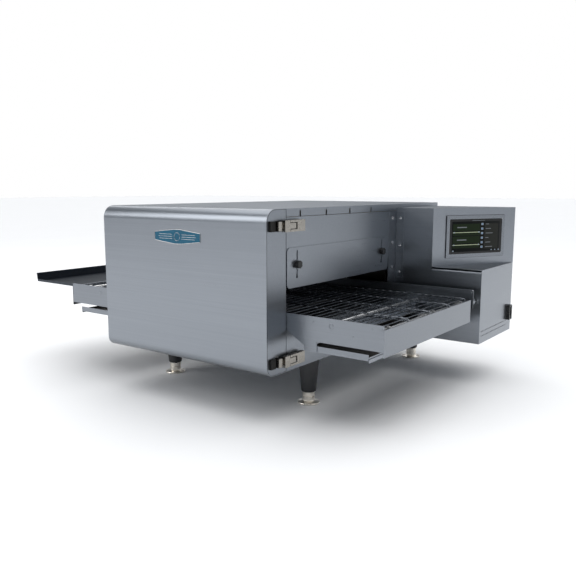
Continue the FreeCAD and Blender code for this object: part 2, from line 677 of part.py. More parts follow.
def latch_lever(z):
    """The lever: a channel with a slot in its nose for the hook."""
    px, py = latch_axis()
    x = (f"({RIGHT} + latch_back)", f"({RIGHT} + latch_face)")
    y = (f"({py} - latch_nose)", f"({py} - latch_nose + latch_long)")
    tall = (f"({z} - latch_tall / 2)", f"({z} + latch_tall / 2)")
    space = block((f"{x[0]} - past", f"{x[1]} - latch_web"), (f"{y[0]} - past", f"{y[1]} - latch_web"),
                  (f"{tall[0]} + latch_ear", f"{tall[1]} - latch_ear"))
    slot = block((f"{x[0]} - past", f"{x[1]} + past"), (f"{y[0]} - past", f"{y[0]} + latch_slot"),
                 (f"{z} - hook_wide / 2 - slot_gap", f"{z} + hook_wide / 2 + slot_gap"))
    bore = rod("z", "latch_pin + fit_gap", px, py, f"{tall[0]} - past", "latch_tall + 2 * past")
    channel = cut(block(x, y, tall), space, slot, bore)
    pin = rod("z", "latch_pin", f"{px} + eye_shift", f"{py} + hook_arm", tall[0], "latch_tall")
    return join(channel, pin)


def latch_hook(z):
    """The hook: an eye round the lever's pin, a strap, a deep head, a tongue and a post."""
    px, py = latch_axis()
    eye_x, eye_y = f"({px} + eye_shift)", f"({py} + hook_arm)"
    wide = (f"({z} - hook_wide / 2)", f"({z} + hook_wide / 2)")
    x = (f"({RIGHT} + hook_out)", f"({RIGHT} + hook_out + hook_thick)")
    tip = f"({eye_y} - hook_reach)"
    strap = block(x, (tip, eye_y), wide)
    eye = rod("z", "hook_eye", eye_x, eye_y, wide[0], "hook_wide")
    head = block((x[0], f"{RIGHT} + latch_face"), (f"{py} - hook_head_end", f"{py} - hook_head_start"),
                 (f"{z} - latch_tall / 2", f"{z} + latch_tall / 2"))
    tongue = block((f"{RIGHT} + latch_face - latch_web", f"{RIGHT} + latch_face"),
                   (f"{py} - hook_head_end", f"{py} + hook_tongue"), wide)
    post = block((x[0], f"{x[0]} + hook_post_thick"), (tip, f"{tip} + hook_post"),
                 (f"{z} - hook_post_tall / 2", f"{z} + hook_post_tall / 2"))
    bore = rod("z", "latch_pin + fit_gap", eye_x, eye_y, f"{wide[0]} - past", "hook_wide + 2 * past")
    return cut(join(strap, eye, head, tongue, post), bore)


# Baffles --------------------------------------------------------------------------------


def make_baffle(end):
    """A height-adjustable plate over a tunnel mouth, and the two knobs that clamp it."""
    x = span(end, "air_gap", "air_gap + baffle_thick")
    y = (SHELL, inside("baffle_deep"))
    points = [(y[0], "baffle_low"), (y[1], "baffle_low"), (y[1], "baffle_high"),
              (f"({y[0]} + baffle_clip)", "baffle_high"), (y[0], "baffle_high - baffle_clip")]
    plate = prism("YZ", points, *x)
    doc.recompute()
    low = number("baffle_low")
    rounded(plate, "baffle_corner", corner_edge(Vector(1, 0, 0), z=low))
    tools = []
    for place in knob_places():
        tools.append(block(beyond(x), about(place, "slot_half"), about("knob_z", "2 * index_pitch")))
        for step in range(-2, 3):
            tools.append(rod("x", "index_hole", f"{x[0]} - past", place, f"knob_z + {step} * index_pitch",
                             "baffle_thick + 2 * past"))
    subpart(cut(plate, *tools), f"{end}_baffle")
    for side, place in zip(("front", "rear"), knob_places()):
        subpart(baffle_knob(end, place), f"{end}_baffle_{side}_knob")


def baffle_knob(end, y):
    """A fluted clamping knob on a stud that reaches through the plate into the weld nut."""
    head_x = span(end, "2 * air_gap + baffle_thick", "2 * air_gap + baffle_thick + knob_long")
    head = rod("x", "knob_radius", head_x[0], y, "knob_z", "knob_long")
    flutes = []
    for index in range(int(number("flute_count"))):
        angle = f"({index} * 360 / flute_count)"
        flutes.append(rod("x", "scallop", f"{head_x[0]} - past", f"{y} + flute_ring * cos({angle})",
                          f"knob_z + flute_ring * sin({angle})", "knob_long + 2 * past"))
    stud_x = span(end, "-wall - nut_long - stud_tip", "knob_long")
    stud = rod("x", "stud_radius", stud_x[0], y, "knob_z", "knob_long + wall + nut_long + stud_tip")
    return join(cut(head, *flutes), stud)


# Conveyor -------------------------------------------------------------------------------


def rail_outline(low_end, top):
    """The side plate's outline on the XZ plane, the same at both ends."""
    right = [
        (out("right", "0"), "tunnel_low"),
        (out("right", "tab_start - tab_slope"), "guard_low"),
        (out("right", "tab_start"), "runner_low"),
        (out("right", "tab_end"), "runner_low"),
        (out("right", "tab_end"), low_end),
        (out("right", "conveyor_reach"), low_end),
        (out("right", "conveyor_reach"), top),
    ]
    mirrored = [(f"(2 * {MIDDLE} - {x})", z) for x, z in reversed(right)]
    return right + mirrored


def make_rails():
    """The two side rails, each with a folded edge and the crumb tray's runners."""
    y = (SHELL, inside("rail_thick"))
    front = prism("XZ", rail_outline("rail_notch", "rail_top"), *y)
    runners = [runner(end, y[1], 1) for end in ENDS]
    subpart(join(front, *runners), "conveyor_front_rail")
    y = (f"({RAIL_BACK} - rail_thick)", RAIL_BACK)
    web = prism("XZ", rail_outline("rear_rail_low", "rear_rail_top"), *y)
    bored(web, "XZ", shaft_bores())
    reach = (out("left", "conveyor_reach"), out("right", "conveyor_reach"))
    flange = block(reach, (REAR_RAIL, RAIL_BACK), ("rear_rail_top - rail_thick", "rear_rail_top"))
    lip = block(reach, (REAR_RAIL, f"{REAR_RAIL} + rail_thick"),
                ("rear_rail_top - rail_lip", "rear_rail_top"))
    runners = [runner(end, y[0], -1) for end in ENDS]
    subpart(join(web, flange, lip, *runners), "conveyor_rear_rail")


def shaft_bores():
    """The four bearing holes of a rail, seen from the front."""
    return [(out(end, "conveyor_reach - shaft_inset"), SHAFT_Z, "shaft_radius + shaft_gap")
            for end in ENDS]


def runner(end, face, side):
    """An angle under a rail that carries one edge of a crumb tray."""
    x = span(end, "tab_start", "runner_end")
    leg = sorted_pair(face, f"({face} + {side} * wall)", side)
    foot = sorted_pair(face, f"({face} + {side} * runner_deep)", side)
    return join(block(x, leg, ("runner_low", "runner_high")),
                block(x, foot, ("runner_low", "runner_low + wall")))


def make_cross_ties():
    """Round ties between the rails inside the belt, and a flat tie at each end."""
    ties = []
    inner = (inside("rail_thick"), f"({RAIL_BACK} - rail_thick)")
    for index in range(int(number("tie_count"))):
        x = f"({MIDDLE} + ({index} - (tie_count - 1) / 2) * tie_pitch)"
        ties.append(rod("y", "tie_radius", x, inner[0], "belt_top - tie_drop", f"{inner[1]} - {inner[0]}"))
    for end in ENDS:
        x = span(end, "conveyor_reach - end_tie_deep", "conveyor_reach")
        ties.append(block(x, (inner[0], guard_rear_inner()), ("end_tie_low", "end_tie_high")))
    subpart(join(*ties), "conveyor_cross_ties")


def guard_rear_inner():
    """Y of the inner face of the end guard's rear return."""
    return f"({REAR_RAIL} - guard_rear_gap)"


def make_end_guard():
    """The plate that closes the delivery end, folded back at both sides."""
    x = (out("right", "conveyor_reach"), out("right", "conveyor_reach + guard_thick"))
    y = (f"({SHELL} - wall)", f"({guard_rear_inner()} + wall)")
    plate = block(x, y, ("guard_low", "guard_high"))
    folds = []
    for fold, low in (((y[0], SHELL), "rail_notch"), ((guard_rear_inner(), y[1]), "guard_low")):
        folds.append(block((f"{x[1]} - guard_return", x[1]), fold, (low, "guard_high")))
    subpart(join(plate, *folds), "delivery_end_guard")


def make_belt():
    """The wire belt's space: one flat loop round both shafts."""
    y = (inside("belt_inset"), inside("belt_inset + belt_wide"))
    outer = belt_loop("shaft_drop", y)
    inner = belt_loop("shaft_drop - belt_thick", (f"{y[0]} - past", f"{y[1]} + past"))
    subpart(cut(outer, inner), "conveyor_belt")


def belt_loop(radius, y):
    """A stadium-shaped block round both shafts."""
    centres = [out(end, "conveyor_reach - shaft_inset") for end in ("left", "right")]
    pieces = [block(centres, y, (f"{SHAFT_Z} - ({radius})", f"{SHAFT_Z} + ({radius})"))]
    for x in centres:
        pieces.append(rod("y", radius, x, y[0], SHAFT_Z, f"({y[1]}) - ({y[0]})"))
    return join(*pieces)


SPROCKETS = ("sprocket_first", "sprocket_second", "sprocket_third", "sprocket_last")


def make_shaft(end, rear):
    """One cross shaft of the belt, with its toothed wheels as a separate group."""
    x = out(end, "conveyor_reach - shaft_inset")
    front = inside("rail_thick + shaft_gap")
    shaft = rod("y", "shaft_radius", x, front, SHAFT_Z, f"{rear} - {front}")
    wheels = []
    for place in SPROCKETS:
        wheels.append(sprocket(x, inside(place)))
    return shaft, wheels


def sprocket(x, y):
    """A toothed wheel with a set collar, bored for the shaft."""
    disc = rod("y", "sprocket_radius", x, y, SHAFT_Z, "sprocket_thick")
    collar = rod("y", "collar_radius", x, f"{y} + sprocket_thick", SHAFT_Z, "sprocket_thick")
    gaps = []
    for index in range(int(number("sprocket_teeth"))):
        angle = f"(({index} + 0.5) * 360 / sprocket_teeth)"
        gaps.append(rod("y", "tooth_cut", f"{x} + tooth_ring * cos({angle})", f"{y} - past",
                        f"{SHAFT_Z} + tooth_ring * sin({angle})", "sprocket_thick + past"))
    bore = rod("y", "shaft_radius", x, f"{y} - past", SHAFT_Z, "2 * sprocket_thick + 2 * past")
    return cut(join(disc, collar), bore, *gaps)


def make_shafts():
    """The drive shaft with its coupler sleeve, the idler shaft, and the bearings in the rails."""
    shaft, wheels = make_shaft("right", f"({BOX_FRONT} + coupling)")
    sleeve = rod("y", "coupler_radius", out("right", "conveyor_reach - shaft_inset"),
                 f"({RAIL_BACK} + coupler_start)", SHAFT_Z, "coupler_long")
    subpart(join(shaft, sleeve), "drive_shaft")
    subpart(join(*wheels), "drive_sprockets")
    shaft, wheels = make_shaft("left", f"({RAIL_BACK} + shaft_tail)")
    subpart(join(shaft, *wheels), "idler_shaft")
    bushes = []
    for end in ENDS:
        x = out(end, "conveyor_reach - shaft_inset")
        for start in (inside("rail_thick"), f"({RAIL_BACK} - rail_thick - bearing_long)"):
            ring = rod("y", "bearing_radius", x, start, SHAFT_Z, "bearing_long")
            bore = rod("y", "shaft_radius + fit_gap", x, f"{start} - past", SHAFT_Z,
                       "bearing_long + 2 * past")
            bushes.append(cut(ring, bore))
    subpart(join(*bushes), "shaft_bearings")


def make_crumb_tray(end):
    """A shallow pan that slides out under one end of the belt."""
    x = span(end, "tray_start", "runner_end")
    y = (inside("rail_thick + wall + air_gap"), f"({RAIL_BACK} - rail_thick - wall - air_gap)")
    floor = "(runner_low + wall + air_gap)"
    pan = hollow(x, y, (floor, "tray_top"), "tray_wall", ("top",))
    pull = block(span(end, "runner_end", "runner_end + rail_thick"), y, ("pull_low", "pull_high"))
    subpart(join(pan, pull), f"{end}_crumb_tray")


def make_landing_tray():
    """The loading shelf at the left end: a raised end lip, and tongues that go over the end tie."""
    tip = out("left", "conveyor_reach + landing_long")
    floor_x = (out("left", "conveyor_reach + landing_long - landing_flare"),
               out("left", "conveyor_reach + air_gap"))
    y = (SHELL, inside("tunnel_deep"))
    floor = block(floor_x, y, ("landing_floor", "landing_floor + landing_thick"))
    lip_foot = floor_x[0]
    lip = prism("XZ", [
        (lip_foot, "landing_floor"),
        (f"({lip_foot} + landing_thick)", "landing_floor"),
        (f"({tip} + landing_thick)", "landing_lip"),
        (tip, "landing_lip"),
    ], *y)
    curbs = []
    for side in ((y[0], f"{y[0]} + wall"), (f"{y[1]} - wall", y[1])):
        curbs.append(block(floor_x, side, ("landing_floor", "landing_floor + landing_curb")))
    apron_x = (f"({floor_x[1]} - landing_thick)", floor_x[1])
    inner = (inside("rail_thick + air_gap"), f"({RAIL_BACK} - rail_thick - air_gap)")
    apron = block(apron_x, (y[0], inner[1]), ("landing_apron", "landing_floor + landing_thick"))
    tongues = []
    for side in ((inner[0], f"{inner[0]} + wall"), (f"{inner[1]} - wall", inner[1])):
        tongues.append(block((apron_x[0], f"{apron_x[1]} + tongue_long"), side,
                             ("end_tie_high + air_gap", "end_tie_high + air_gap + tongue_tall")))
    subpart(join(floor, lip, apron, *tongues, *curbs), "landing_tray")


# Control box ----------------------------------------------------------------------------


def make_control_box():
    """The lower box with its shelf, and the hood with its slanted screen panel."""
    x = (RIGHT, f"{RIGHT} + box_wide")
    y = (BOX_FRONT, BOX_REAR)
    corner = f"({RIGHT} + hood_wide)"
    outer = join(boxed((corner, x[1]), y, (LOW, "shelf_z"), "box_bend"),
                 block((x[0], corner), y, (LOW, "shelf_z")))
    inner = block((f"{x[0]} - past", f"{x[1]} - wall"), (f"{y[0]} + wall", f"{y[1]} - wall"),
                  (f"{LOW} + wall", "shelf_z - wall"))
    shaft = rod("y", "shaft_radius + shaft_clear", out("right", "conveyor_reach - shaft_inset"),
                f"{y[0]} - past", SHAFT_Z, "wall + 2 * past")
    skin = (f"{x[1]} - 2 * wall", f"{x[1]} + past")
    window = block(skin, about(back("switch_y"), SWITCH_HALF_WIDE), about("switch_z", SWITCH_HALF_TALL))
    slots = []
    for column, row in itertools.product(vent_range("columns"), vent_range("rows")):
        start = f"({back('box_vent_front')} + {column} * box_vent_pitch)"
        low = f"(box_vent_low + {row} * box_vent_rise)"
        slots.append(block(skin, (start, f"{start} + box_vent_wide"),
                           (low, f"{low} + box_vent_tall")))
    subpart(cut(outer, inner, shaft, window, *slots), "control_box_base")
    hood = hood_shape("0", "shelf_z", "hood_top")
    hood_inner = hood_shape("wall", "shelf_z - past", "hood_top - wall")
    opening = panel_plate("glass_margin", "glass_margin", "-4 * wall", "8 * wall")
    subpart(cut(hood, hood_inner, opening), "control_box_hood")


def vent_range(way):
    """Numbers of the end vents one way."""
    return range(int(number(f"box_vent_{way}")))


def boxed(x, y, z, bend):
    """A block with its upper front edge rolled."""
    shape = prism("YZ", rectangle(y, z), *x)
    doc.recompute()
    bounds = shape.Shape.BoundBox
    return rounded(shape, bend, corner_edge(Vector(1, 0, 0), y=bounds.YMin, z=bounds.ZMax))


def hood_shape(inset, low, high):
    """The hood's four-sided column, drawn in by an inset on the faces that a person can see."""
    slope = "((box_wide - hood_wide) / box_deep)"
    shift = f"({inset} * sqrt(1 + {slope} * {slope}))"
    near_x = RIGHT if inset == "0" else f"{RIGHT} - past"
    points = [
        (near_x, f"{BOX_FRONT} + {inset}"),
        (f"{RIGHT} + hood_wide + {slope} * {inset} - {shift}", f"{BOX_FRONT} + {inset}"),
        (f"{RIGHT} + box_wide - {slope} * {inset} - {shift}", f"{BOX_REAR} - {inset}"),
        (near_x, f"{BOX_REAR} - {inset}"),
    ]
    return prism("XY", points, low, high)


def on_panel(along, length, out_from, depth, low, tall):
    """A box laid against the slanted panel: along it, out from it, and up."""
    item = doc.addObject("Part::Box", "panel_block")
    angle = "atan2(box_deep; box_wide - hood_wide)"
    bind(item, "Length", length)
    bind(item, "Width", depth)
    bind(item, "Height", tall)
    item.Placement = Placement(Vector(), Rotation(Vector(0, 0, 1), 1))
    bind(item, "Placement.Rotation.Angle", angle)
    inward = f"(-({out_from}) - ({depth}))"
    seat(item,
         f"{RIGHT} + hood_wide + ({along}) * cos({angle}) - ({inward}) * sin({angle})",
         f"{BOX_FRONT} + ({along}) * sin({angle}) + ({inward}) * cos({angle})", low)
    return item


def panel_plate(inset, rise, out_from, depth):
    """A plate in the middle of the screen's place, inset along the panel and up and down."""
    return on_panel(f"screen_start + {inset}", f"screen_wide - 2 * {inset}", out_from, depth,
                    f"screen_low + {rise}", f"screen_tall - 2 * {rise}")


def make_screen():
    """The bezel, the touch screen in it and the control board behind it."""
    margin = "glass_margin"
    hole = panel_plate(margin, margin, "-past", "bezel_thick + 2 * past")
    subpart(cut(panel_plate("0", "0", "0", "bezel_thick"), hole), "screen_bezel")
    glass = panel_plate(margin, margin, "bezel_thick - glass_drop - screen_deep", "screen_deep")
    subpart(glass, "touchscreen")
    board = panel_plate("board_inset", "board_rise", "-board_back", "board_thick")
    subpart(board, "control_board")


def make_gearmotor():
    """The belt's gearmotor inside the control box, bored for the drive shaft."""
    x = out("right", "conveyor_reach - shaft_inset")
    y = (inside("gear_start"), inside("gear_start + gear_deep"))
    gear_x = (f"{x} - gear_wide + gear_right", f"{x} + gear_right")
    gearbox = block(gear_x, y, about(SHAFT_Z, "gear_tall / 2"))
    motor = rod("y", "gear_motor_radius", f"{x} - gear_shift", y[1], SHAFT_Z, "gear_motor_long")
    bore = rod("y", "shaft_radius + fit_gap", x, f"{y[0]} - past", SHAFT_Z,
               f"{BOX_FRONT} + coupling + 2 * past - {y[0]}")
    subpart(cut(join(gearbox, motor), bore), "belt_gearmotor")


def make_power_switch():
    """The rocker switch low on the control box's end: a rimmed case and a two-way rocker."""
    face = f"({RIGHT} + box_wide)"
    y = back("switch_y")
    rim = block((face, f"{face} + switch_proud"), about(y, "switch_wide / 2"),
                about("switch_z", "switch_tall / 2"))
    case = block((f"{face} - switch_deep", f"{face} + past"), about(y, SWITCH_HALF_WIDE),
                 about("switch_z", SWITCH_HALF_TALL))
    well = block((f"{face} - switch_floor", f"{face} + switch_proud + past"),
                 about(y, f"({SWITCH_HALF_WIDE} - switch_shell)"),
                 about("switch_z", f"({SWITCH_HALF_TALL} - switch_shell)"))
    subpart(cut(join(rim, case), well), "power_switch_body")
    low, high = about("switch_z", SWITCH_HALF_TALL)
    rocker = prism("XZ", [
        (f"({face} + rocker_back)", "(switch_z - rocker_foot)"),
        (f"({face} + rocker_low_in)", f"({low} + rocker_low_rise)"),
        (f"({face} + rocker_low_out)", f"({low} + rocker_nose_rise)"),
        (f"({face} + rocker_middle)", "switch_z"),
        (f"({face} + rocker_high_out)", f"({high} - rocker_top_drop)"),
        (f"({face} + rocker_high_in)", f"({high} - rocker_tip_drop)"),
        (f"({face} + rocker_back)", "(switch_z + rocker_foot)"),
    ], *about(y, f"({SWITCH_HALF_WIDE} - rocker_gap)"))
    subpart(rocker, "power_rocker")


# Legs and small parts -------------------------------------------------------------------


def make_legs():
    """Four tapered legs, each with a turned levelling foot screwed into it."""
    cones = []
    for x, y in leg_places():
        leg = cone("leg_end_radius", "leg_top_radius", x, y, "leg_end_z", f"{LOW} - leg_end_z")
        bore = rod("z", "stem_radius + fit_gap", x, y, "leg_end_z - past", "stem_high")
        cones.append(cut(leg, bore))
    subpart(join(*cones), "legs")
    names = ("front_right", "front_left", "rear_right", "rear_left")
    for name, (x, y) in zip(names, leg_places()):
        subpart(levelling_foot(x, y), f"{name}_foot")


def levelling_foot(x, y):
    """A disc foot, a grooved adjuster and a threaded stem, turned in one piece."""
    pad = rod("z", "foot_radius", x, y, "0", "foot_thick")
    grip = rod("z", "nut_face", x, y, "foot_thick", "leg_end_z - air_gap - foot_thick")
    stem = rod("z", "stem_radius", x, y, "foot_thick", "stem_high")
    ring = cut(rod("z", "nut_face + past", x, y, "groove_z", "groove_tall"),
               rod("z", "nut_face - groove_deep", x, y, "groove_z - past", "groove_tall + 2 * past"))
    return cut(join(pad, grip, stem), ring)


def make_screws():
    """Raised screw heads on the strip behind each tunnel mouth."""
    heads = []
    for end in ENDS:
        x = span(end, "0", "screw_tall")
        for index in range(int(number("screw_count"))):
            z = f"screw_low + {index} * screw_pitch"
            heads.append(rod("x", "screw_radius", x[0], inside("screw_back"), z, "screw_tall"))
    subpart(join(*heads), "panel_screws")


def make_power_gland():
    """The cord gland on the back, through the back sheet."""
    nut = rod("y", "gland_radius", "gland_x", REAR, "gland_z", "gland_nut")
    nose = rod("y", "gland_nose", "gland_x", REAR, "gland_z", "gland_long")
    start = f"({REAR} - gland_inside)"
    thread = rod("y", "gland_thread", "gland_x", start, "gland_z", "gland_inside + past")
    bore = rod("y", "gland_bore", "gland_x", f"{start} - past", "gland_z",
               "gland_inside + gland_long + 2 * past")
    subpart(cut(join(nut, nose, thread), bore), "power_gland")


def build():
    """Make every sub-part."""
    make_base_pan()
    make_top_cover()
    make_rear_panel()
    make_chamber_liner()
    make_insulation()
    make_finger("upper", ("upper_finger_low", "upper_finger_high"), "bottom",
                ("upper_finger_low - wall", "upper_finger_low"))
    make_finger("lower", ("lower_finger_low", "lower_finger_high"), "top",
                ("lower_finger_high", "lower_finger_high + wall"))
    make_blower()
    make_cooling_fan()
    make_door()
    make_door_hinges()
    make_latches()
    for end in ENDS:
        make_end_panel(end)
        make_baffle(end)
        make_crumb_tray(end)
    make_rails()
    make_cross_ties()
    make_end_guard()
    make_belt()
    make_shafts()
    make_landing_tray()
    make_control_box()
    make_screen()
    make_gearmotor()
    make_power_switch()
    make_legs()
    make_screws()
    make_power_gland()


def check():
    """Stop if anything failed to build."""
    for item in doc.Objects:
        if any(state in item.State for state in ("Invalid", "Error")):
            raise RuntimeError(f"{item.Label} is {item.State}")
    for item in subparts:
        if item.Shape.isNull() or not item.Shape.isValid() or not item.Shape.Solids:
            raise RuntimeError(f"{item.Label} has no valid solid")


def write():
    """Write each sub-part's shape to its own file."""
    os.makedirs("parts", exist_ok=True)
    for item in subparts:
        item.Shape.exportStep(f"parts/{item.Label}.step")


build()
doc.recompute()
check()
write()
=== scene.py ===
"""Looks for the countertop conveyor oven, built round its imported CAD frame. Metres throughout."""
import math
import random

import bmesh
import bpy
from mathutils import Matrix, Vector


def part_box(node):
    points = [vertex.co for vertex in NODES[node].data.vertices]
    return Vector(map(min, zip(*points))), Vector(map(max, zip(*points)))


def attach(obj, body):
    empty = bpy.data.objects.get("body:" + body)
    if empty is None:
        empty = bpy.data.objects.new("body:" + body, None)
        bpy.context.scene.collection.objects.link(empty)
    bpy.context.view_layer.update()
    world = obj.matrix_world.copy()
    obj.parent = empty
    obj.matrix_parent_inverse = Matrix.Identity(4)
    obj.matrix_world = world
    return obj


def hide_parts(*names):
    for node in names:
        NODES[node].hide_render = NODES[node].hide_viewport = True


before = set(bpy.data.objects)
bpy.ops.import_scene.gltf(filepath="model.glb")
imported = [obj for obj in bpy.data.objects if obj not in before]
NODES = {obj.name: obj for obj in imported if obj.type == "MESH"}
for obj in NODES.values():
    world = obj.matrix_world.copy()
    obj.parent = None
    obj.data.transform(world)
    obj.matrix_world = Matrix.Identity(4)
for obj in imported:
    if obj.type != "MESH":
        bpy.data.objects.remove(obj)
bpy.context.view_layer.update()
MM = 0.001


# Node material helpers ------------------------------------------------------------------


class Shader:
    """A small wrapper that adds and links nodes of one material."""

    def __init__(self, name, **principled):
        self.material = bpy.data.materials.new(name)
        self.material.use_nodes = True
        self.tree = self.material.node_tree
        self.surface = self.tree.nodes["Principled BSDF"]
        for key, value in principled.items():
            self.surface.inputs[key.replace("_", " ")].default_value = value

    def node(self, kind, **settings):
        made = self.tree.nodes.new(kind)
        for key, value in settings.items():
            setattr(made, key, value)
        return made

    def link(self, source, target):
        self.tree.links.new(source, target)

    def feed(self, socket, value):
        """Link a socket, or set it to a constant."""
        if isinstance(value, bpy.types.NodeSocket):
            self.link(value, socket)
        else:
            socket.default_value = value

    def coordinates(self):
        return self.node("ShaderNodeTexCoord").outputs["Object"]

    def scaled(self, scale, vector=None):
        mapping = self.node("ShaderNodeMapping")
        self.link(vector or self.coordinates(), mapping.inputs["Vector"])
        mapping.inputs["Scale"].default_value = scale
        return mapping.outputs["Vector"]

    def noise(self, scale, detail=3.0, rough=0.55, stretch=(1, 1, 1), vector=None):
        made = self.node("ShaderNodeTexNoise")
        self.link(self.scaled(stretch, vector), made.inputs["Vector"])
        made.inputs["Scale"].default_value = scale
        made.inputs["Detail"].default_value = detail
        made.inputs["Roughness"].default_value = rough
        return made.outputs["Fac"]

    def remap(self, value, low, high, from_low=0.0, from_high=1.0):
        made = self.node("ShaderNodeMapRange")
        self.feed(made.inputs["Value"], value)
        made.inputs["From Min"].default_value = from_low
        made.inputs["From Max"].default_value = from_high
        made.inputs["To Min"].default_value = low
        made.inputs["To Max"].default_value = high
        return made.outputs["Result"]

    def math(self, operation, first, second=0.0):
        made = self.node("ShaderNodeMath", operation=operation)
        self.feed(made.inputs[0], first)
        self.feed(made.inputs[1], second)
        return made.outputs[0]

    def blend(self, factor, first, second, kind="MIX"):
        made = self.node("ShaderNodeMix", data_type="RGBA", blend_type=kind)
        self.feed(made.inputs["Factor"], factor)
        self.feed(made.inputs["A"], first)
        self.feed(made.inputs["B"], second)
        return made.outputs["Result"]

    def colour(self, value):
        """Feed the surface's base colour."""
        self.link(value, self.surface.inputs["Base Color"])

    def roughness(self, value):
        """Feed the surface's roughness."""
        self.link(value, self.surface.inputs["Roughness"])

    def bump(self, height, strength, distance):
        made = self.node("ShaderNodeBump")
        made.inputs["Strength"].default_value = strength
        made.inputs["Distance"].default_value = distance
        self.link(height, made.inputs["Height"])
        self.link(made.outputs["Normal"], self.surface.inputs["Normal"])

    def position(self):
        split = self.node("ShaderNodeSeparateXYZ")
        self.link(self.coordinates(), split.inputs[0])
        return split.outputs

    def facing(self):
        """How far the surface faces along X, Y and Z, as absolute values."""
        geometry = self.node("ShaderNodeNewGeometry")
        split = self.node("ShaderNodeSeparateXYZ")
        self.link(geometry.outputs["Normal"], split.inputs[0])
        return [self.math("ABSOLUTE", split.outputs[i]) for i in range(3)]


def grey(level, tint=(1, 1, 1)):
    return (level * tint[0], level * tint[1], level * tint[2], 1)


COOL = (0.93, 1.0, 1.10)
WARM = (1.06, 1.0, 0.90)


def brushed(name, level, rough, tint=COOL, grain=1.0, smudge=0.05):
    """Brushed sheet: grain along X on faces that look along Y or Z, along Y on the end faces."""
    made = Shader(name, Metallic=1.0)
    along_x = made.noise(1.0, 4.0, 0.6, (4, 900, 900))
    along_y = made.noise(1.0, 4.0, 0.6, (900, 4, 900))
    end_face = made.remap(made.facing()[0], 0, 1, 0.45, 0.55)
    streak = made.node("ShaderNodeMix", data_type="FLOAT")
    made.link(end_face, streak.inputs["Factor"])
    made.link(along_x, streak.inputs["A"])
    made.link(along_y, streak.inputs["B"])
    streak = streak.outputs["Result"]
    cloud = made.noise(5.0, 4.0, 0.6)
    broad = made.noise(1.0, 3.0, 0.6, (2, 260, 260))
    fine_lines = made.remap(streak, -0.12 * grain, 0.12 * grain)
    broad_lines = made.remap(broad, -0.2 * grain, 0.2 * grain)
    lines = made.math("ADD", fine_lines, broad_lines)
    tone = made.math("ADD", lines, made.remap(cloud, -smudge, smudge))
    low, high = grey(level * 0.8, tint), grey(level * 1.2, tint)
    colour = made.blend(made.math("ADD", tone, 0.5), low, high)
    made.colour(colour)
    gloss = made.math("ADD", made.remap(streak, rough - 0.07, rough + 0.09), made.remap(cloud, -0.04, 0.04))
    made.roughness(gloss)
    made.bump(streak, 0.10 * grain, 0.0004)
    return made.material


def polished(name, level, rough, tint=(1, 1, 1)):
    """Plated or turned steel with faint turning marks and handling haze."""
    made = Shader(name, Metallic=1.0)
    haze = made.noise(60.0, 4.0, 0.6)
    fine = made.noise(900.0, 2.0, 0.5)
    made.colour(made.blend(haze, grey(level * 0.86, tint), grey(level * 1.05, tint)))
    made.roughness(made.remap(haze, rough * 0.6, rough * 1.5))
    made.bump(fine, 0.03, 0.0002)
    return made.material


def moulded(name, level, rough, tint=(1, 1, 1), grain=650.0, depth=0.12):
    """Black moulded plastic with a fine spark-eroded grain and paler rubbed patches."""
    made = Shader(name, IOR=1.48)
    patch = made.noise(28.0, 4.0, 0.6)
    pits = made.noise(grain, 3.0, 0.6)
    made.colour(made.blend(patch, grey(level * 0.75, tint), grey(level * 1.3, tint)))
    made.roughness(made.remap(patch, rough - 0.08, rough + 0.1))
    made.bump(pits, depth, 0.0003)
    return made.material


def stained(name, level, rough):
    """Chamber steel, browned and bloomed by heat."""
    made = Shader(name, Metallic=0.85)
    cloud = made.noise(9.0, 5.0, 0.62)
    bloom = made.noise(31.0, 3.0, 0.5)
    tan = made.blend(cloud, grey(level * 0.6), grey(level * 1.25, (1.05, 1.0, 0.93)))
    colour = made.blend(made.remap(bloom, 0, 0.35, 0.45, 0.75), tan, grey(level * 0.7, (1.15, 0.98, 0.8)))
    made.colour(colour)
    made.roughness(made.remap(cloud, rough - 0.1, rough + 0.12))
    made.bump(bloom, 0.08, 0.0004)
    return made.material


def wool(name):
    """Pressed mineral wool."""
    made = Shader(name, Roughness=0.95)
    fibre = made.noise(140.0, 5.0, 0.7, (1, 1, 5))
    made.colour(made.blend(fibre, (0.33, 0.27, 0.15, 1), (0.62, 0.55, 0.37, 1)))
    made.bump(fibre, 0.6, 0.002)
    return made.material


def enamel(name, colour, rough):
    """Stove enamel with slight orange peel."""
    made = Shader(name, Specular_IOR_Level=0.3)
    made.surface.inputs["Coat Weight"].default_value = 0.1
    made.surface.inputs["Coat Roughness"].default_value = 0.08
    drift = made.noise(22.0, 3.0, 0.5)
    dark = tuple(c * 0.8 for c in colour) + (1,)
    light = tuple(min(c * 1.15, 1) for c in colour) + (1,)
    made.colour(made.blend(drift, dark, light))
    made.roughness(made.remap(drift, rough - 0.05, rough + 0.06))
    made.bump(made.noise(420.0, 2.0, 0.5), 0.05, 0.0003)
    return made.material


def glow(name, colour, strength):
    """A lit area of the display."""
    made = Shader(name, Roughness=0.35, Specular_IOR_Level=0.08)
    drift = made.noise(90.0, 2.0, 0.5)
    dark = tuple(c * 0.85 for c in colour) + (1,)
    full = tuple(colour) + (1,)
    made.colour(made.blend(drift, dark, full))
    made.link(made.blend(drift, dark, full), made.surface.inputs["Emission Color"])
    made.surface.inputs["Emission Strength"].default_value = strength
    return made.material


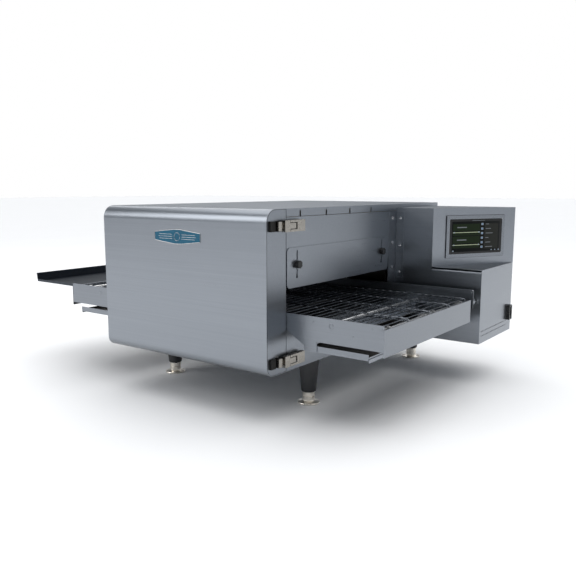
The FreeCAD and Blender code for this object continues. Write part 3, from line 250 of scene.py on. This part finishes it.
def tray_steel_painted_shade(name):
    """Crumb tray steel: the pan painted near black with a faint brown tint as painted shade under the belt,
    bright on the pull at the outer end.
    """
    made = Shader(name, Metallic=1.0)
    cloud = made.noise(14.0, 5.0, 0.62)
    away = made.math("ABSOLUTE", made.math("SUBTRACT", made.position()[0], OVEN_MIDDLE))
    pull = made.math("GREATER_THAN", away, PULL_START)
    # painted shade: the pan's near-black colour stands in for the shade in the gap under the belt and guard
    pan = made.blend(cloud, grey(0.025), grey(0.07, (1.15, 1.0, 0.85)))
    made.colour(made.blend(pull, pan, grey(0.3, COOL)))
    made.roughness(made.remap(cloud, 0.26, 0.46))
    made.bump(made.noise(1.0, 3.0, 0.6, (900, 4, 900)), 0.08, 0.0004)
    return made.material


DOOR_LOW, DOOR_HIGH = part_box("front_door_skin")
PULL_THICK = 1.6 * MM
OVEN_MIDDLE = (DOOR_LOW.x + DOOR_HIGH.x) / 2
PULL_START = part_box("right_crumb_tray")[1].x - OVEN_MIDDLE - PULL_THICK

SHELL_STEEL = brushed("shell_steel", 0.285, 0.30)
CONVEYOR_STEEL = brushed("conveyor_steel", 0.25, 0.30)
LANDING_STEEL = brushed("landing_steel", 0.055, 0.32, (0.86, 1.0, 1.2))
BEZEL_STEEL = brushed("bezel_steel", 0.24, 0.28)
CHAMBER_STEEL = stained("chamber_steel", 0.10, 0.5)
BELT_STEEL = polished("belt_wire", 0.24, 0.24, COOL)
TRAY_STEEL_PAINTED_SHADE = tray_steel_painted_shade("tray_steel_painted_shade")
# painted shade: latch keepers and bases are near black, standing in for the shadow round the latch
KEEPER_PAINTED_SHADE = stained("keeper_painted_shade", 0.03, 0.5)
TIE_STEEL = polished("turned_steel", 0.75, 0.2)
SPROCKET_STEEL = polished("sprocket_steel", 0.5, 0.3)
LATCH_STEEL = polished("latch_steel", 0.34, 0.26, WARM)
CHROME = polished("foot_chrome", 0.95, 0.28, WARM)
BLACK_KNOB = moulded("knob_black", 0.012, 0.42)
BLACK_BEARING = moulded("bearing_black", 0.008, 0.5)
BLACK_LEG = moulded("leg_black", 0.024, 0.38, (0.95, 1.0, 1.1), 380.0, 0.08)
BLACK_SWITCH = moulded("switch_black", 0.010, 0.28)
BLACK_GLAND = moulded("gland_black", 0.012, 0.5)
MOTOR_PAINT = enamel("motor_paint", (0.05, 0.055, 0.06), 0.4)
BOARD_GREEN = enamel("board_green", (0.03, 0.16, 0.08), 0.35)
HEATER = stained("heater_sheath", 0.08, 0.6)
WOOL = wool("wool")
BADGE_BLUE = enamel("badge_blue", (0.001, 0.095, 0.17), 0.3)
BADGE_RIM = polished("badge_rim", 0.42, 0.25)
SCREEN_GLASS = enamel("screen_glass", (0.003, 0.004, 0.005), 0.06)

DISPLAY_BACK = glow("display_back", (0.004, 0.005, 0.005), 0.3)
DISPLAY_SIDE = glow("display_side", (0.017, 0.018, 0.016), 0.5)
DISPLAY_LIST = glow("display_list", (0.008, 0.014, 0.006), 0.5)
DISPLAY_RULE = glow("display_rule", (0.26, 0.30, 0.20), 0.6)
DISPLAY_TEXT = glow("display_text", (0.12, 0.13, 0.14), 0.6)
DISPLAY_ICON = glow("display_icon", (0.20, 0.24, 0.28), 0.6)
DISPLAY_BLUE = glow("display_blue", (0.05, 0.12, 0.24), 0.7)

CAD_FINISH = {
    "top_cover": SHELL_STEEL, "rear_panel": SHELL_STEEL, "right_end_panel": SHELL_STEEL,
    "left_end_panel": SHELL_STEEL, "front_door_skin": SHELL_STEEL, "control_box_base": SHELL_STEEL,
    "control_box_hood": SHELL_STEEL, "base_pan": SHELL_STEEL,
    "conveyor_front_rail": CONVEYOR_STEEL, "conveyor_rear_rail": CONVEYOR_STEEL,
    "delivery_end_guard": CONVEYOR_STEEL, "right_crumb_tray": TRAY_STEEL_PAINTED_SHADE,
    "left_crumb_tray": TRAY_STEEL_PAINTED_SHADE, "right_baffle": SHELL_STEEL, "left_baffle": SHELL_STEEL,
    "chamber_liner": CHAMBER_STEEL, "upper_air_finger": CHAMBER_STEEL, "upper_jet_plate": CHAMBER_STEEL,
    "lower_air_finger": CHAMBER_STEEL, "lower_jet_plate": CHAMBER_STEEL, "front_door_liner": CHAMBER_STEEL,
    "landing_tray": LANDING_STEEL, "conveyor_belt": BELT_STEEL,
    "drive_shaft": TIE_STEEL, "idler_shaft": TIE_STEEL, "conveyor_cross_ties": TIE_STEEL,
    "door_hinge_leaves": TIE_STEEL, "door_hinge_knuckles": TIE_STEEL, "panel_screws": TIE_STEEL,
    "drive_sprockets": SPROCKET_STEEL, "latch_keepers": KEEPER_PAINTED_SHADE, "latch_bases": KEEPER_PAINTED_SHADE,
    "blower_impeller": SPROCKET_STEEL,
    "upper_latch_lever": LATCH_STEEL, "lower_latch_lever": LATCH_STEEL,
    "upper_latch_hook": LATCH_STEEL, "lower_latch_hook": LATCH_STEEL,
    "right_baffle_front_knob": BLACK_KNOB, "right_baffle_rear_knob": BLACK_KNOB,
    "left_baffle_front_knob": BLACK_KNOB, "left_baffle_rear_knob": BLACK_KNOB,
    "shaft_bearings": BLACK_BEARING, "legs": BLACK_LEG,
    "front_right_foot": CHROME, "front_left_foot": CHROME, "rear_right_foot": CHROME,
    "rear_left_foot": CHROME,
    "badge_plate": BADGE_BLUE, "screen_bezel": BEZEL_STEEL, "touchscreen": SCREEN_GLASS,
    "power_switch_body": BLACK_SWITCH, "power_rocker": BLACK_SWITCH,
    "power_gland": BLACK_GLAND, "cooling_fan_frame": BLACK_GLAND, "cooling_fan_rotor": BLACK_GLAND,
    "chamber_insulation": WOOL, "blower_motor": MOTOR_PAINT, "belt_gearmotor": MOTOR_PAINT,
    "control_board": BOARD_GREEN, "heating_element": HEATER,
}


def finish_cad_nodes():
    """Give each carried-over CAD node its procedural material."""
    for name, material in CAD_FINISH.items():
        node = NODES[name]
        for index in range(len(node.material_slots)):
            node.material_slots[index].material = material
        if not node.material_slots:
            node.data.materials.append(material)


# Mesh helpers ---------------------------------------------------------------------------


class Build:
    """Vertices and faces of one piece, with a material number per face."""

    def __init__(self):
        self.points = []
        self.faces = []
        self.paints = []

    def sweep(self, path, ups, radius, sides=6, paint=0, closed=False):
        """A round tube along a path; ups are directions that the path never runs along."""
        first = len(self.points)
        count = len(path)
        for index, point in enumerate(path):
            before = path[index - 1] if index or closed else point
            after = path[(index + 1) % count] if index + 1 < count or closed else point
            along = (after - before).normalized()
            across = along.cross(ups[index]).normalized()
            rise = across.cross(along)
            for side in range(sides):
                angle = math.tau * side / sides
                self.points.append(point + radius * (math.cos(angle) * across + math.sin(angle) * rise))
        for ring in range(count if closed else count - 1):
            here, there = first + ring * sides, first + (ring + 1) % count * sides
            for side in range(sides):
                turn = (side + 1) % sides
                self.face((here + side, here + turn, there + turn, there + side), paint)
        if not closed:
            last = first + (count - 1) * sides
            self.face(tuple(first + side for side in reversed(range(sides))), paint)
            self.face(tuple(last + side for side in range(sides)), paint)

    def face(self, corners, paint=0):
        self.faces.append(corners)
        self.paints.append(paint)

    def lathe(self, profile, centre, axis, sides=48, paint=0):
        """A solid of revolution: profile points are (distance along the axis, radius)."""
        axis = Vector(axis)
        side_way = axis.orthogonal().normalized()
        other_way = axis.cross(side_way)
        first = len(self.points)
        for along, radius in profile:
            for side in range(sides):
                angle = math.tau * side / sides
                spoke = math.cos(angle) * side_way + math.sin(angle) * other_way
                self.points.append(Vector(centre) + along * axis + radius * spoke)
        for ring in range(len(profile) - 1):
            here, there = first + ring * sides, first + (ring + 1) * sides
            for side in range(sides):
                turn = (side + 1) % sides
                self.face((here + side, here + turn, there + turn, there + side), paint)
        last = first + (len(profile) - 1) * sides
        self.face(tuple(first + side for side in reversed(range(sides))), paint)
        self.face(tuple(last + side for side in range(sides)), paint)

    def slab(self, outline, rise, inset=0.0, paint=0):
        """A raised plate on an outline, its upper edge drawn in by a chamfer."""
        first = len(self.points)
        count = len(outline)
        middle = sum(outline, Vector()) / count
        top = []
        for point in outline:
            inward = middle - point
            top.append(point + rise + inward.normalized() * min(inset, inward.length / 2))
        self.points += list(outline) + [p + rise * 0.6 for p in outline] + top
        for level in (0, 1):
            for side in range(count):
                turn = (side + 1) % count
                low, high = first + level * count, first + (level + 1) * count
                self.face((low + side, low + turn, high + turn, high + side), paint)
        self.face(tuple(first + side for side in reversed(range(count))), paint)
        self.face(tuple(first + 2 * count + side for side in range(count)), paint)

    def piece(self, name, materials, body, replaced=(), smooth=35):
        """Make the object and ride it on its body."""
        mesh = bpy.data.meshes.new(name)
        mesh.from_pydata(self.points, [], self.faces)
        for material in materials:
            mesh.materials.append(material)
        mesh.polygons.foreach_set("material_index", self.paints)
        bm = bmesh.new()
        bm.from_mesh(mesh)
        bmesh.ops.recalc_face_normals(bm, faces=bm.faces)
        bm.to_mesh(mesh)
        bm.free()
        mesh.polygons.foreach_set("use_smooth", [True] * len(mesh.polygons))
        mesh.set_sharp_from_angle(angle=math.radians(smooth))
        made = bpy.data.objects.new(name, mesh)
        bpy.context.scene.collection.objects.link(made)
        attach(made, body)
        if replaced:
            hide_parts(*replaced)
        return made


# Wire belt ------------------------------------------------------------------------------

BELT_LOW, BELT_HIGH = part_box("conveyor_belt")
BELT_THICK = 3 * MM
LOOP_RADIUS = (BELT_HIGH.z - BELT_LOW.z) / 2
WIRE = 1.0 * MM
BELT_MIDDLE_RADIUS = LOOP_RADIUS - BELT_THICK / 2
BELT_RUN = BELT_HIGH.x - BELT_LOW.x - 2 * LOOP_RADIUS
BELT_AROUND = 2 * BELT_RUN + math.tau * BELT_MIDDLE_RADIUS
WIRE_COUNT = round(BELT_AROUND / (19.05 * MM))
WIRE_PITCH = BELT_AROUND / WIRE_COUNT
LANES = 5
LANE_EDGE = 5 * MM
START_JITTER = 0.25 * MM
LINK_FORWARD = 1.15
LINK_SINK = 0.4 * MM


def belt_point(around, height):
    """Place and outward direction at a distance round the belt and a height off its middle."""
    around %= BELT_AROUND
    left, right = BELT_LOW.x + LOOP_RADIUS, BELT_HIGH.x - LOOP_RADIUS
    centre_z = BELT_LOW.z + LOOP_RADIUS
    half = BELT_AROUND / 2
    back_run = around >= half
    step = around - half if back_run else around
    if step < BELT_RUN:
        centre = Vector((left + step, 0, centre_z))
        angle = math.pi / 2
    else:
        centre = Vector((right, 0, centre_z))
        angle = math.pi / 2 - (step - BELT_RUN) / BELT_MIDDLE_RADIUS
    if back_run:
        centre.x = left + right - centre.x
        angle += math.pi
    outward = Vector((math.cos(angle), 0, math.sin(angle)))
    return centre + (BELT_MIDDLE_RADIUS + height) * outward, outward


def hook_points(lane, side):
    """Half of a loop that reaches forward over the next strand.

    Each bend is millimetres across, a share of the strand pitch forward, and millimetres up.
    """
    bends = (
        (8, 0, 0), (5.2, 0.02, 0), (3.6, 0.2, 0.05),
        (3.3, 0.66, 0.3), (4.1, 0.98, 0.45), (3.2, 1.11, 0.2),
    )
    ordered = bends if side < 0 else bends[::-1]
    return [(lane + side * across * MM, forward * WIRE_PITCH, rise * MM)
            for across, forward, rise in ordered]


def make_belt():
    """Cross strands linked by rows of hooked loops, all the way round both shafts."""
    rng = random.Random(4)
    made = Build()
    near, far = BELT_LOW.y + LANE_EDGE, BELT_HIGH.y - LANE_EDGE
    lanes = [near + (far - near) * index / (LANES - 1) for index in range(LANES)]
    for strand in range(WIRE_COUNT):
        start = strand * WIRE_PITCH + rng.uniform(-START_JITTER, START_JITTER)
        route = []
        for index, lane in enumerate(lanes):
            if index:
                route += hook_points(lane, -1)
            route.append((lane, LINK_FORWARD * WIRE_PITCH, -LINK_SINK))
            if index < LANES - 1:
                route += hook_points(lane, 1)
        path, ups = [], []
        for across, forward, rise in route:
            place, outward = belt_point(start + forward, rise)
            path.append(Vector((place.x, across, place.z)))
            ups.append(outward)
        made.sweep(path, ups, WIRE, 6)
    made.piece("wire_belt", [BELT_STEEL], "oven", ("conveyor_belt",), 60)


# Display --------------------------------------------------------------------------------


def front_face(name):
    """Origin, direction along, outward normal, width and height of a slanted node's front."""
    mesh = NODES[name].data
    lean = Vector((0.87, -0.5, 0))
    face = max(mesh.polygons, key=lambda p: (round(p.normal.dot(lean), 2), p.area))
    normal = face.normal.copy()
    along = Vector((0, 0, 1)).cross(normal).normalized()
    spots = [v.co for v in mesh.vertices]
    start = min(p.dot(along) for p in spots)
    stop = max(p.dot(along) for p in spots)
    low = min(p.z for p in spots)
    high = max(p.z for p in spots)
    depth = max(p.dot(normal) for p in spots)
    origin = along * start + normal * depth + Vector((0, 0, low))
    return origin, along, normal, stop - start, high - low


MARK_CHAMFER = 0.1 * MM
LIST_LEFT, LIST_RIGHT = 0.06, 0.575
LIST_TOPS = (0.86, 0.50)
ICON_LEFT, ICON_TOP, ICON_STEP, ICON_COUNT = 0.597, 0.84, 0.132, 6
MENU_LEFT = 0.685


def make_display():
    """The lit marks on the touch screen: list panels, a row of icons, rules and dots.

    Every mark is given in shares of the glass's width and height, from its lower left corner.
    """
    origin, along, normal, wide, tall = front_face("touchscreen")
    paints = [DISPLAY_BACK, DISPLAY_SIDE, DISPLAY_LIST, DISPLAY_RULE, DISPLAY_TEXT]
    paints += [DISPLAY_ICON, DISPLAY_BLUE]
    back, side, panel, rule, text, icon, blue = range(len(paints))
    made = Build()

    def mark(left, low, right, high, paint, lift):
        """One raised mark; its lift off the glass is in millimetres."""
        corners = [(left, low), (right, low), (right, high), (left, high)]
        outline = [origin + along * (u * wide) + Vector((0, 0, v * tall)) for u, v in corners]
        made.slab(outline, normal * lift * MM, MARK_CHAMFER, paint)

    mark(0.045, 0.06, 0.955, 0.93, back, 0.10)
    mark(0.66, 0.13, 0.93, 0.86, side, 0.16)
    for top in LIST_TOPS:
        mark(LIST_LEFT, top - 0.20, LIST_RIGHT, top, panel, 0.16)
        mark(LIST_LEFT, top - 0.255, LIST_RIGHT, top - 0.235, rule, 0.2)
        mark(0.14, top - 0.115, 0.32, top - 0.085, text, 0.2)
        mark(LIST_LEFT, top - 0.335, LIST_RIGHT, top - 0.275, panel, 0.16)
        for dot in (0.075, 0.545):
            mark(dot, top - 0.26, dot + 0.02, top - 0.225, icon, 0.24)
    for row in range(ICON_COUNT):
        height = ICON_TOP - ICON_STEP * row
        mark(ICON_LEFT, height - 0.026, ICON_LEFT + 0.04, height + 0.034, icon, 0.2)
        mark(ICON_LEFT + 0.01, height - 0.010, ICON_LEFT + 0.03, height + 0.018, blue, 0.26)
        word = 0.06 + 0.04 * (row % 3)
        mark(MENU_LEFT, height - 0.006, MENU_LEFT + word, height + 0.012, text, 0.2)
    mark(0.42, 0.945, 0.66, 0.955, text, 0.12)
    for dot in (0.80, 0.87, 0.94):
        mark(dot, 0.075, dot + 0.02, 0.105, icon, 0.2)
    mark(LIST_LEFT, 0.07, 0.085, 0.105, icon, 0.2)
    made.piece("display_marks", paints, "oven", (), 30)


BEZEL_CORNER = 2.0 * MM
CORNER_STEPS = 4


def corner_loop(origin, along, wide, tall, reach):
    """Points round a rectangle with round corners, standing outside it by a reach."""
    spots = []
    for u, v, turn in ((0, 0, 180), (1, 0, 270), (1, 1, 0), (0, 1, 90)):
        middle_u = u * wide + (BEZEL_CORNER if u == 0 else -BEZEL_CORNER)
        middle_v = v * tall + (BEZEL_CORNER if v == 0 else -BEZEL_CORNER)
        for step in range(CORNER_STEPS + 1):
            angle = math.radians(turn + 90 / CORNER_STEPS * step)
            spot_u = middle_u + (BEZEL_CORNER + reach) * math.cos(angle)
            spot_v = middle_v + (BEZEL_CORNER + reach) * math.sin(angle)
            spots.append(origin + along * spot_u + Vector((0, 0, spot_v)))
    return spots


def make_bezel_rim():
    """A thin rolled lip round the glass and a shadow seam round the bezel."""
    for name, node, reach, radius, sink, material in (
        ("bezel_inner_lip", "touchscreen", 0.6, 0.7, 0.2, TIE_STEEL),
        ("bezel_outer_seam", "screen_bezel", 0.3, 0.45, 2.6, BLACK_BEARING),
    ):
        origin, along, normal, wide, tall = front_face(node)
        spots = corner_loop(origin - normal * sink * MM, along, wide, tall, reach * MM)
        made = Build()
        made.sweep(spots, [normal] * len(spots), radius * MM, 8, 0, True)
        made.piece(name, [material], "oven", (), 60)


# Badge ----------------------------------------------------------------------------------


BADGE_END = 9 * MM
BADGE_FLAT = 9 * MM
BADGE_RISE = 0.75 * MM
RING_RADIUS = 8.5 * MM
RING_STEPS = 40
RULE_START, RULE_STOP, RULE_PITCH = 14 * MM, 56 * MM, 4.6 * MM
REARWARD = Vector((0, 1, 0))


def make_badge():
    """A blue enamel plate in a bright rim, with a plain ring and rules for ornament."""
    low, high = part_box("badge_plate")
    middle = (low + high) / 2
    half_wide, half_tall = (high.x - low.x) / 2, (high.z - low.z) / 2
    upper = [(-half_wide, BADGE_END), (-BADGE_FLAT, half_tall)]
    upper += [(BADGE_FLAT, half_tall), (half_wide, BADGE_END)]
    shape = upper + [(u, -v) for u, v in reversed(upper)]
    made = Build()

    def on_badge(u, v, forward):
        """A point on the badge; forward is millimetres out from the plate's back."""
        return Vector((middle.x + u, high.y - forward * MM, middle.z + v))

    def ring_of(scale, forward):
        return [on_badge(u * scale, v * scale, forward) for u, v in reversed(shape)]

    def bead(path, radius, closed):
        made.sweep(path, [REARWARD] * len(path), radius * MM, 8, 1, closed)

    made.slab(ring_of(0.985, 0.0), -BADGE_RISE * REARWARD, 0.3 * MM, 0)
    bead(ring_of(0.965, 0.72), 0.24, True)
    bead(ring_of(0.992, 0.5), 0.42, True)
    angles = [math.tau * step / RING_STEPS for step in range(RING_STEPS)]
    bead([on_badge(RING_RADIUS * math.cos(a), RING_RADIUS * math.sin(a), 0.58) for a in angles], 0.4, True)
    for side in (-1, 1):
        for row in (-1, 0, 1):
            stop = RULE_STOP - abs(row) * 3 * MM
            start, stop = sorted((side * RULE_START, side * stop))
            ends = [on_badge(u, row * RULE_PITCH, 0.6) for u in (start, stop)]
            bead([ends[0].lerp(ends[1], t / 4) for t in range(5)], 0.38, False)
    made.piece("badge", [BADGE_BLUE, BADGE_RIM], "front_door", ("badge_plate",), 30)


# Rivets, seams and other small work ------------------------------------------------------


def dome(made, centre, axis, radius, height, paint=0):
    """A low domed rivet head."""
    shares = ((0, 1), (0.35, 0.96), (0.75, 0.7), (1, 0.25))
    profile = [(height * along, radius * across) for along, across in shares]
    made.lathe(profile, centre, axis, 20, paint)


# Rivets on a rail: distance in from its end, height above the bench and radius, in millimetres
RAIL_RIVETS = ((155, 214, 1.8), (113, 210, 5.5), (65, 196, 1.8), (24, 216, 2.0))
RIVET_RISE = 0.5 * MM


def make_rail_rivets():
    """Flush rivets on both conveyor rails, the same at both ends."""
    low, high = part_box("conveyor_front_rail")
    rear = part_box("conveyor_rear_rail")[1].y
    centre = (low.x + high.x) / 2
    made = Build()
    for inset, height, radius in RAIL_RIVETS:
        for side in (-1, 1):
            x = centre + side * ((high.x - low.x) / 2 - inset * MM)
            dome(made, (x, low.y, height * MM), (0, -1, 0), radius * MM, RIVET_RISE)
            dome(made, (x, rear, height * MM), (0, 1, 0), radius * MM, RIVET_RISE)
    made.piece("rail_rivets", [CONVEYOR_STEEL], "oven", (), 40)


def rectangle(first, second, place):
    """The corners of a rectangle between two ranges, each put in its place by a function."""
    (left, right), (low, high) = first, second
    return [place(u, v) for u, v in ((left, low), (right, low), (right, high), (left, high))]


TRIM_THICK = 0.5 * MM
TRIM_CHAMFER = 0.3 * MM
TRIM_SCREWS = (262 * MM, 330 * MM, 398 * MM)


def make_joint_trim():
    """The two narrow cover strips in the corner between the oven's end and the control box."""
    end_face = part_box("right_end_panel")[1].x
    box_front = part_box("control_box_hood")[0].y
    tall = (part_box("conveyor_rear_rail")[1].z + 3 * MM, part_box("right_end_panel")[1].z - 2 * MM)
    made = Build()
    deep = (box_front - 37 * MM, box_front - 2 * MM)
    outline = rectangle(deep, tall, lambda y, z: Vector((end_face, y, z)))
    made.slab(outline, Vector((TRIM_THICK, 0, 0)), TRIM_CHAMFER)
    wide = (end_face + 2 * MM, end_face + 22 * MM)
    outline = rectangle(wide, tall, lambda x, z: Vector((x, box_front, z)))
    made.slab(outline, Vector((0, -TRIM_THICK, 0)), TRIM_CHAMFER)
    for height in TRIM_SCREWS:
        centre = (sum(wide) / 2, box_front - TRIM_THICK, height)
        dome(made, centre, (0, -1, 0), 3.4 * MM, 0.9 * MM, 1)
    made.piece("joint_trim", [CONVEYOR_STEEL, TIE_STEEL], "oven", (), 30)


DOOR_TOP_BEND = 28 * MM
DOOR_LOW_BEND = 21 * MM
BEND_STEPS = 8


def rolled_outline(inset):
    """The front door's end outline, as (y, z) points from the top rear to the bottom rear."""
    spots = [(DOOR_HIGH.y, DOOR_HIGH.z - inset)]
    for bend, centre_z, turn in (
        (DOOR_TOP_BEND, DOOR_HIGH.z - DOOR_TOP_BEND, 1),
        (DOOR_LOW_BEND, DOOR_LOW.z + DOOR_LOW_BEND, 2),
    ):
        for step in range(BEND_STEPS + 1):
            angle = math.pi / 2 * (turn + step / BEND_STEPS)
            reach = bend - inset
            spots.append((DOOR_LOW.y + bend + reach * math.cos(angle), centre_z + reach * math.sin(angle)))
    spots.append((DOOR_HIGH.y, DOOR_LOW.z + inset))
    return spots


def make_door_seams():
    """The dark joint line where each end cap of the door meets the wrapped sheet."""
    made = Build()
    outline = rolled_outline(1.6 * MM)
    for x in (DOOR_LOW.x, DOOR_HIGH.x):
        path = [Vector((x, y, z)) for y, z in outline]
        made.sweep(path, [Vector((1, 0, 0))] * len(path), 0.35 * MM, 6)
    made.piece("door_end_seams", [BLACK_BEARING], "front_door", (), 60)


def make_chamber_face():
    """Thin cover strips over the front edges of the insulation, seen when the door is open."""
    low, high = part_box("chamber_liner")
    shell_low, shell_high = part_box("top_cover")
    wide = (shell_low.x + 2 * MM, shell_high.x - 2 * MM)
    above = (high.z - MM, shell_high.z - 2 * MM)
    below = (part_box("base_pan")[0].z + 1.5 * MM, low.z + MM)
    made = Build()
    for tall in (above, below):
        outline = rectangle(wide, tall, lambda x, z: Vector((x, low.y, z)))
        made.slab(outline, Vector((0, -TRIM_THICK, 0)), TRIM_CHAMFER)
    made.piece("chamber_face", [CHAMBER_STEEL], "oven", (), 30)


def make_door_gasket():
    """The bead that fills the joint between the door and the shell."""
    made = Build()
    inset = MM
    y = DOOR_HIGH.y + inset
    wide = (DOOR_LOW.x + inset, DOOR_HIGH.x - inset)
    tall = (DOOR_LOW.z + inset, DOOR_HIGH.z - inset)
    path = rectangle(wide, tall, lambda x, z: Vector((x, y, z)))
    made.sweep(path, [REARWARD] * 4, 0.8 * MM, 8, 0, True)
    made.piece("door_gasket", [SHELL_STEEL], "front_door", (), 60)


# Lathe outlines in millimetres: (height, radius). The legs' upper end is given down from their top.
FOOT_DISC = [(0.0, 23.4), (0.8, 24.7), (2.2, 25.0), (3.4, 24.4), (4.2, 21.0), (5.2, 15.5)]
FOOT_GRIP = [(6.4, 13.4), (8.0, 13.0), (8.8, 13.9), (14.8, 13.9), (15.6, 13.1), (16.2, 12.6)]
FOOT_GRIP += [(16.9, 13.1), (17.6, 13.9), (25.6, 13.9), (26.6, 12.9), (26.7, 5.2)]
THREAD_START, THREAD_PITCH, THREAD_COUNT = 28.0, 2.5, 12
LEG_FOOT = [(0, 5.2), (0, 14.8), (0.9, 16.2), (3, 16.9), (8, 17.2)]
LEG_HEAD = [(9, 22.6), (4, 23.1), (3.6, 23.4), (0, 23.5)]
LEG_WIDE_END = 23.5 * MM


def make_feet():
    """Turned levelling feet: a chamfered disc, a grooved grip and a threaded stem."""
    profile = FOOT_DISC + FOOT_GRIP
    for thread in range(THREAD_COUNT):
        height = THREAD_START + THREAD_PITCH * thread
        profile += [(height, 4.3), (height + 1.2, 4.9)]
    for place in ("front_right", "front_left", "rear_right", "rear_left"):
        low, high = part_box(place + "_foot")
        centre = ((low.x + high.x) / 2, (low.y + high.y) / 2, 0)
        made = Build()
        made.lathe([(along * MM, radius * MM) for along, radius in profile], centre, (0, 0, 1), 56)
        body = place + "_foot"
        made.piece(place + "_adjuster", [CHROME], body, (body,), 28)


def make_legs():
    """Moulded tapered legs with a soft rim at the foot and a mounting flange."""
    low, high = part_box("legs")
    profile = [(low.z + up * MM, radius * MM) for up, radius in LEG_FOOT]
    profile += [(high.z - down * MM, radius * MM) for down, radius in LEG_HEAD]
    made = Build()
    for x in (low.x + LEG_WIDE_END, high.x - LEG_WIDE_END):
        for y in (low.y + LEG_WIDE_END, high.y - LEG_WIDE_END):
            made.lathe(profile, (x, y, 0), (0, 0, 1), 56)
    made.piece("moulded_legs", [BLACK_LEG], "oven", ("legs",), 28)


# Camera, floor and light ----------------------------------------------------------------

CAMERA_PLACE = Vector((1.0966, -1.3824, 0.4726))
CAMERA_TURN = math.radians(36.59)
CAMERA_DIP = math.radians(8.588)
CAMERA_LENS = 41.33


def make_camera():
    """A view from the front right and a little above."""
    data = bpy.data.cameras.new("camera")
    data.lens = CAMERA_LENS
    data.sensor_width = 36
    data.clip_end = 50
    camera = bpy.data.objects.new("camera", data)
    camera.location = CAMERA_PLACE
    camera.rotation_euler = (math.pi / 2 - CAMERA_DIP, 0, CAMERA_TURN)
    bpy.context.scene.collection.objects.link(camera)
    bpy.context.scene.camera = camera


FLOOR_HALF_WIDE = 30.0


def make_floor():
    """A wide pale floor."""
    bm = bmesh.new()
    bmesh.ops.create_grid(bm, x_segments=8, y_segments=8, size=FLOOR_HALF_WIDE)
    mesh = bpy.data.meshes.new("floor")
    bm.to_mesh(mesh)
    bm.free()
    made = Shader("floor_paint", Roughness=0.7)
    drift = made.noise(2.0, 3.0, 0.5)
    made.colour(made.blend(drift, grey(0.90), grey(0.93)))
    mesh.materials.append(made.material)
    floor = bpy.data.objects.new("floor", mesh)
    bpy.context.scene.collection.objects.link(floor)


def make_world():
    """White to the camera, a soft grey gradient to everything else."""
    world = bpy.data.worlds.new("studio")
    bpy.context.scene.world = world
    world.use_nodes = True
    tree = world.node_tree
    tree.nodes.clear()
    coordinate = tree.nodes.new("ShaderNodeTexCoord")
    split = tree.nodes.new("ShaderNodeSeparateXYZ")
    ramp = tree.nodes.new("ShaderNodeValToRGB")
    lift = tree.nodes.new("ShaderNodeMapRange")
    lift.inputs["From Min"].default_value = -1
    tree.links.new(coordinate.outputs["Generated"], split.inputs[0])
    tree.links.new(split.outputs["Z"], lift.inputs["Value"])
    tree.links.new(lift.outputs["Result"], ramp.inputs["Fac"])
    stops = ((0.0, 0.8), (0.49, 0.8), (0.54, 0.36), (0.62, 0.16), (1.0, 0.45))
    ramp.color_ramp.elements[0].position, ramp.color_ramp.elements[1].position = 0.0, 1.0
    for place, _ in stops[1:-1]:
        ramp.color_ramp.elements.new(place)
    for element, (place, level) in zip(ramp.color_ramp.elements, stops):
        element.position = place
        element.color = grey(level, (0.95, 1.0, 1.07))
    soft = tree.nodes.new("ShaderNodeBackground")
    white = tree.nodes.new("ShaderNodeBackground")
    white.inputs["Color"].default_value = (1, 1, 1, 1)
    white.inputs["Strength"].default_value = 1.0
    path = tree.nodes.new("ShaderNodeLightPath")
    mix = tree.nodes.new("ShaderNodeMixShader")
    output = tree.nodes.new("ShaderNodeOutputWorld")
    tree.links.new(ramp.outputs["Color"], soft.inputs["Color"])
    soft.inputs["Strength"].default_value = 1.0
    tree.links.new(path.outputs["Is Camera Ray"], mix.inputs["Fac"])
    tree.links.new(soft.outputs[0], mix.inputs[1])
    tree.links.new(white.outputs[0], mix.inputs[2])
    tree.links.new(mix.outputs[0], output.inputs["Surface"])


def area_light(name, place, target, size, power, colour=(1, 1, 1)):
    """A soft box aimed at a point."""
    data = bpy.data.lights.new(name, "AREA")
    data.shape = "RECTANGLE"
    data.size, data.size_y = size
    data.energy = power
    data.color = colour
    light = bpy.data.objects.new(name, data)
    light.location = place
    light.rotation_euler = (Vector(target) - Vector(place)).to_track_quat("-Z", "Y").to_euler()
    bpy.context.scene.collection.objects.link(light)


def sun_light(name, tilt, strength, spread):
    """A broad even light from almost straight above."""
    data = bpy.data.lights.new(name, "SUN")
    data.energy = strength
    data.angle = math.radians(spread)
    light = bpy.data.objects.new(name, data)
    light.rotation_euler = tuple(math.radians(angle) for angle in tilt)
    bpy.context.scene.collection.objects.link(light)


def make_lights():
    """An even light from above, a strip behind at the left, a fill in front and a weak one at the right."""
    sun_light("ceiling", (-12, 0, 0), 2.45, 90)
    area_light("back_strip", (-2.2, 1.8, 2.2), (0.1, -0.3, 0.4), (2.5, 0.8), 12)
    area_light("front_left", (-2.2, -3.0, 2.2), (0, 0, 0.2), (2.4, 2.0), 46)
    area_light("right", (3.4, 0.2, 2.0), (0.3, 0, 0.2), (2.4, 2.0), 12)


finish_cad_nodes()
make_camera()
make_floor()
make_world()
make_lights()
make_belt()
make_display()
make_bezel_rim()
make_badge()
make_rail_rivets()
make_joint_trim()
make_door_seams()
make_chamber_face()
make_door_gasket()
make_feet()
make_legs()
bpy.context.scene.view_settings.view_transform = "Standard"
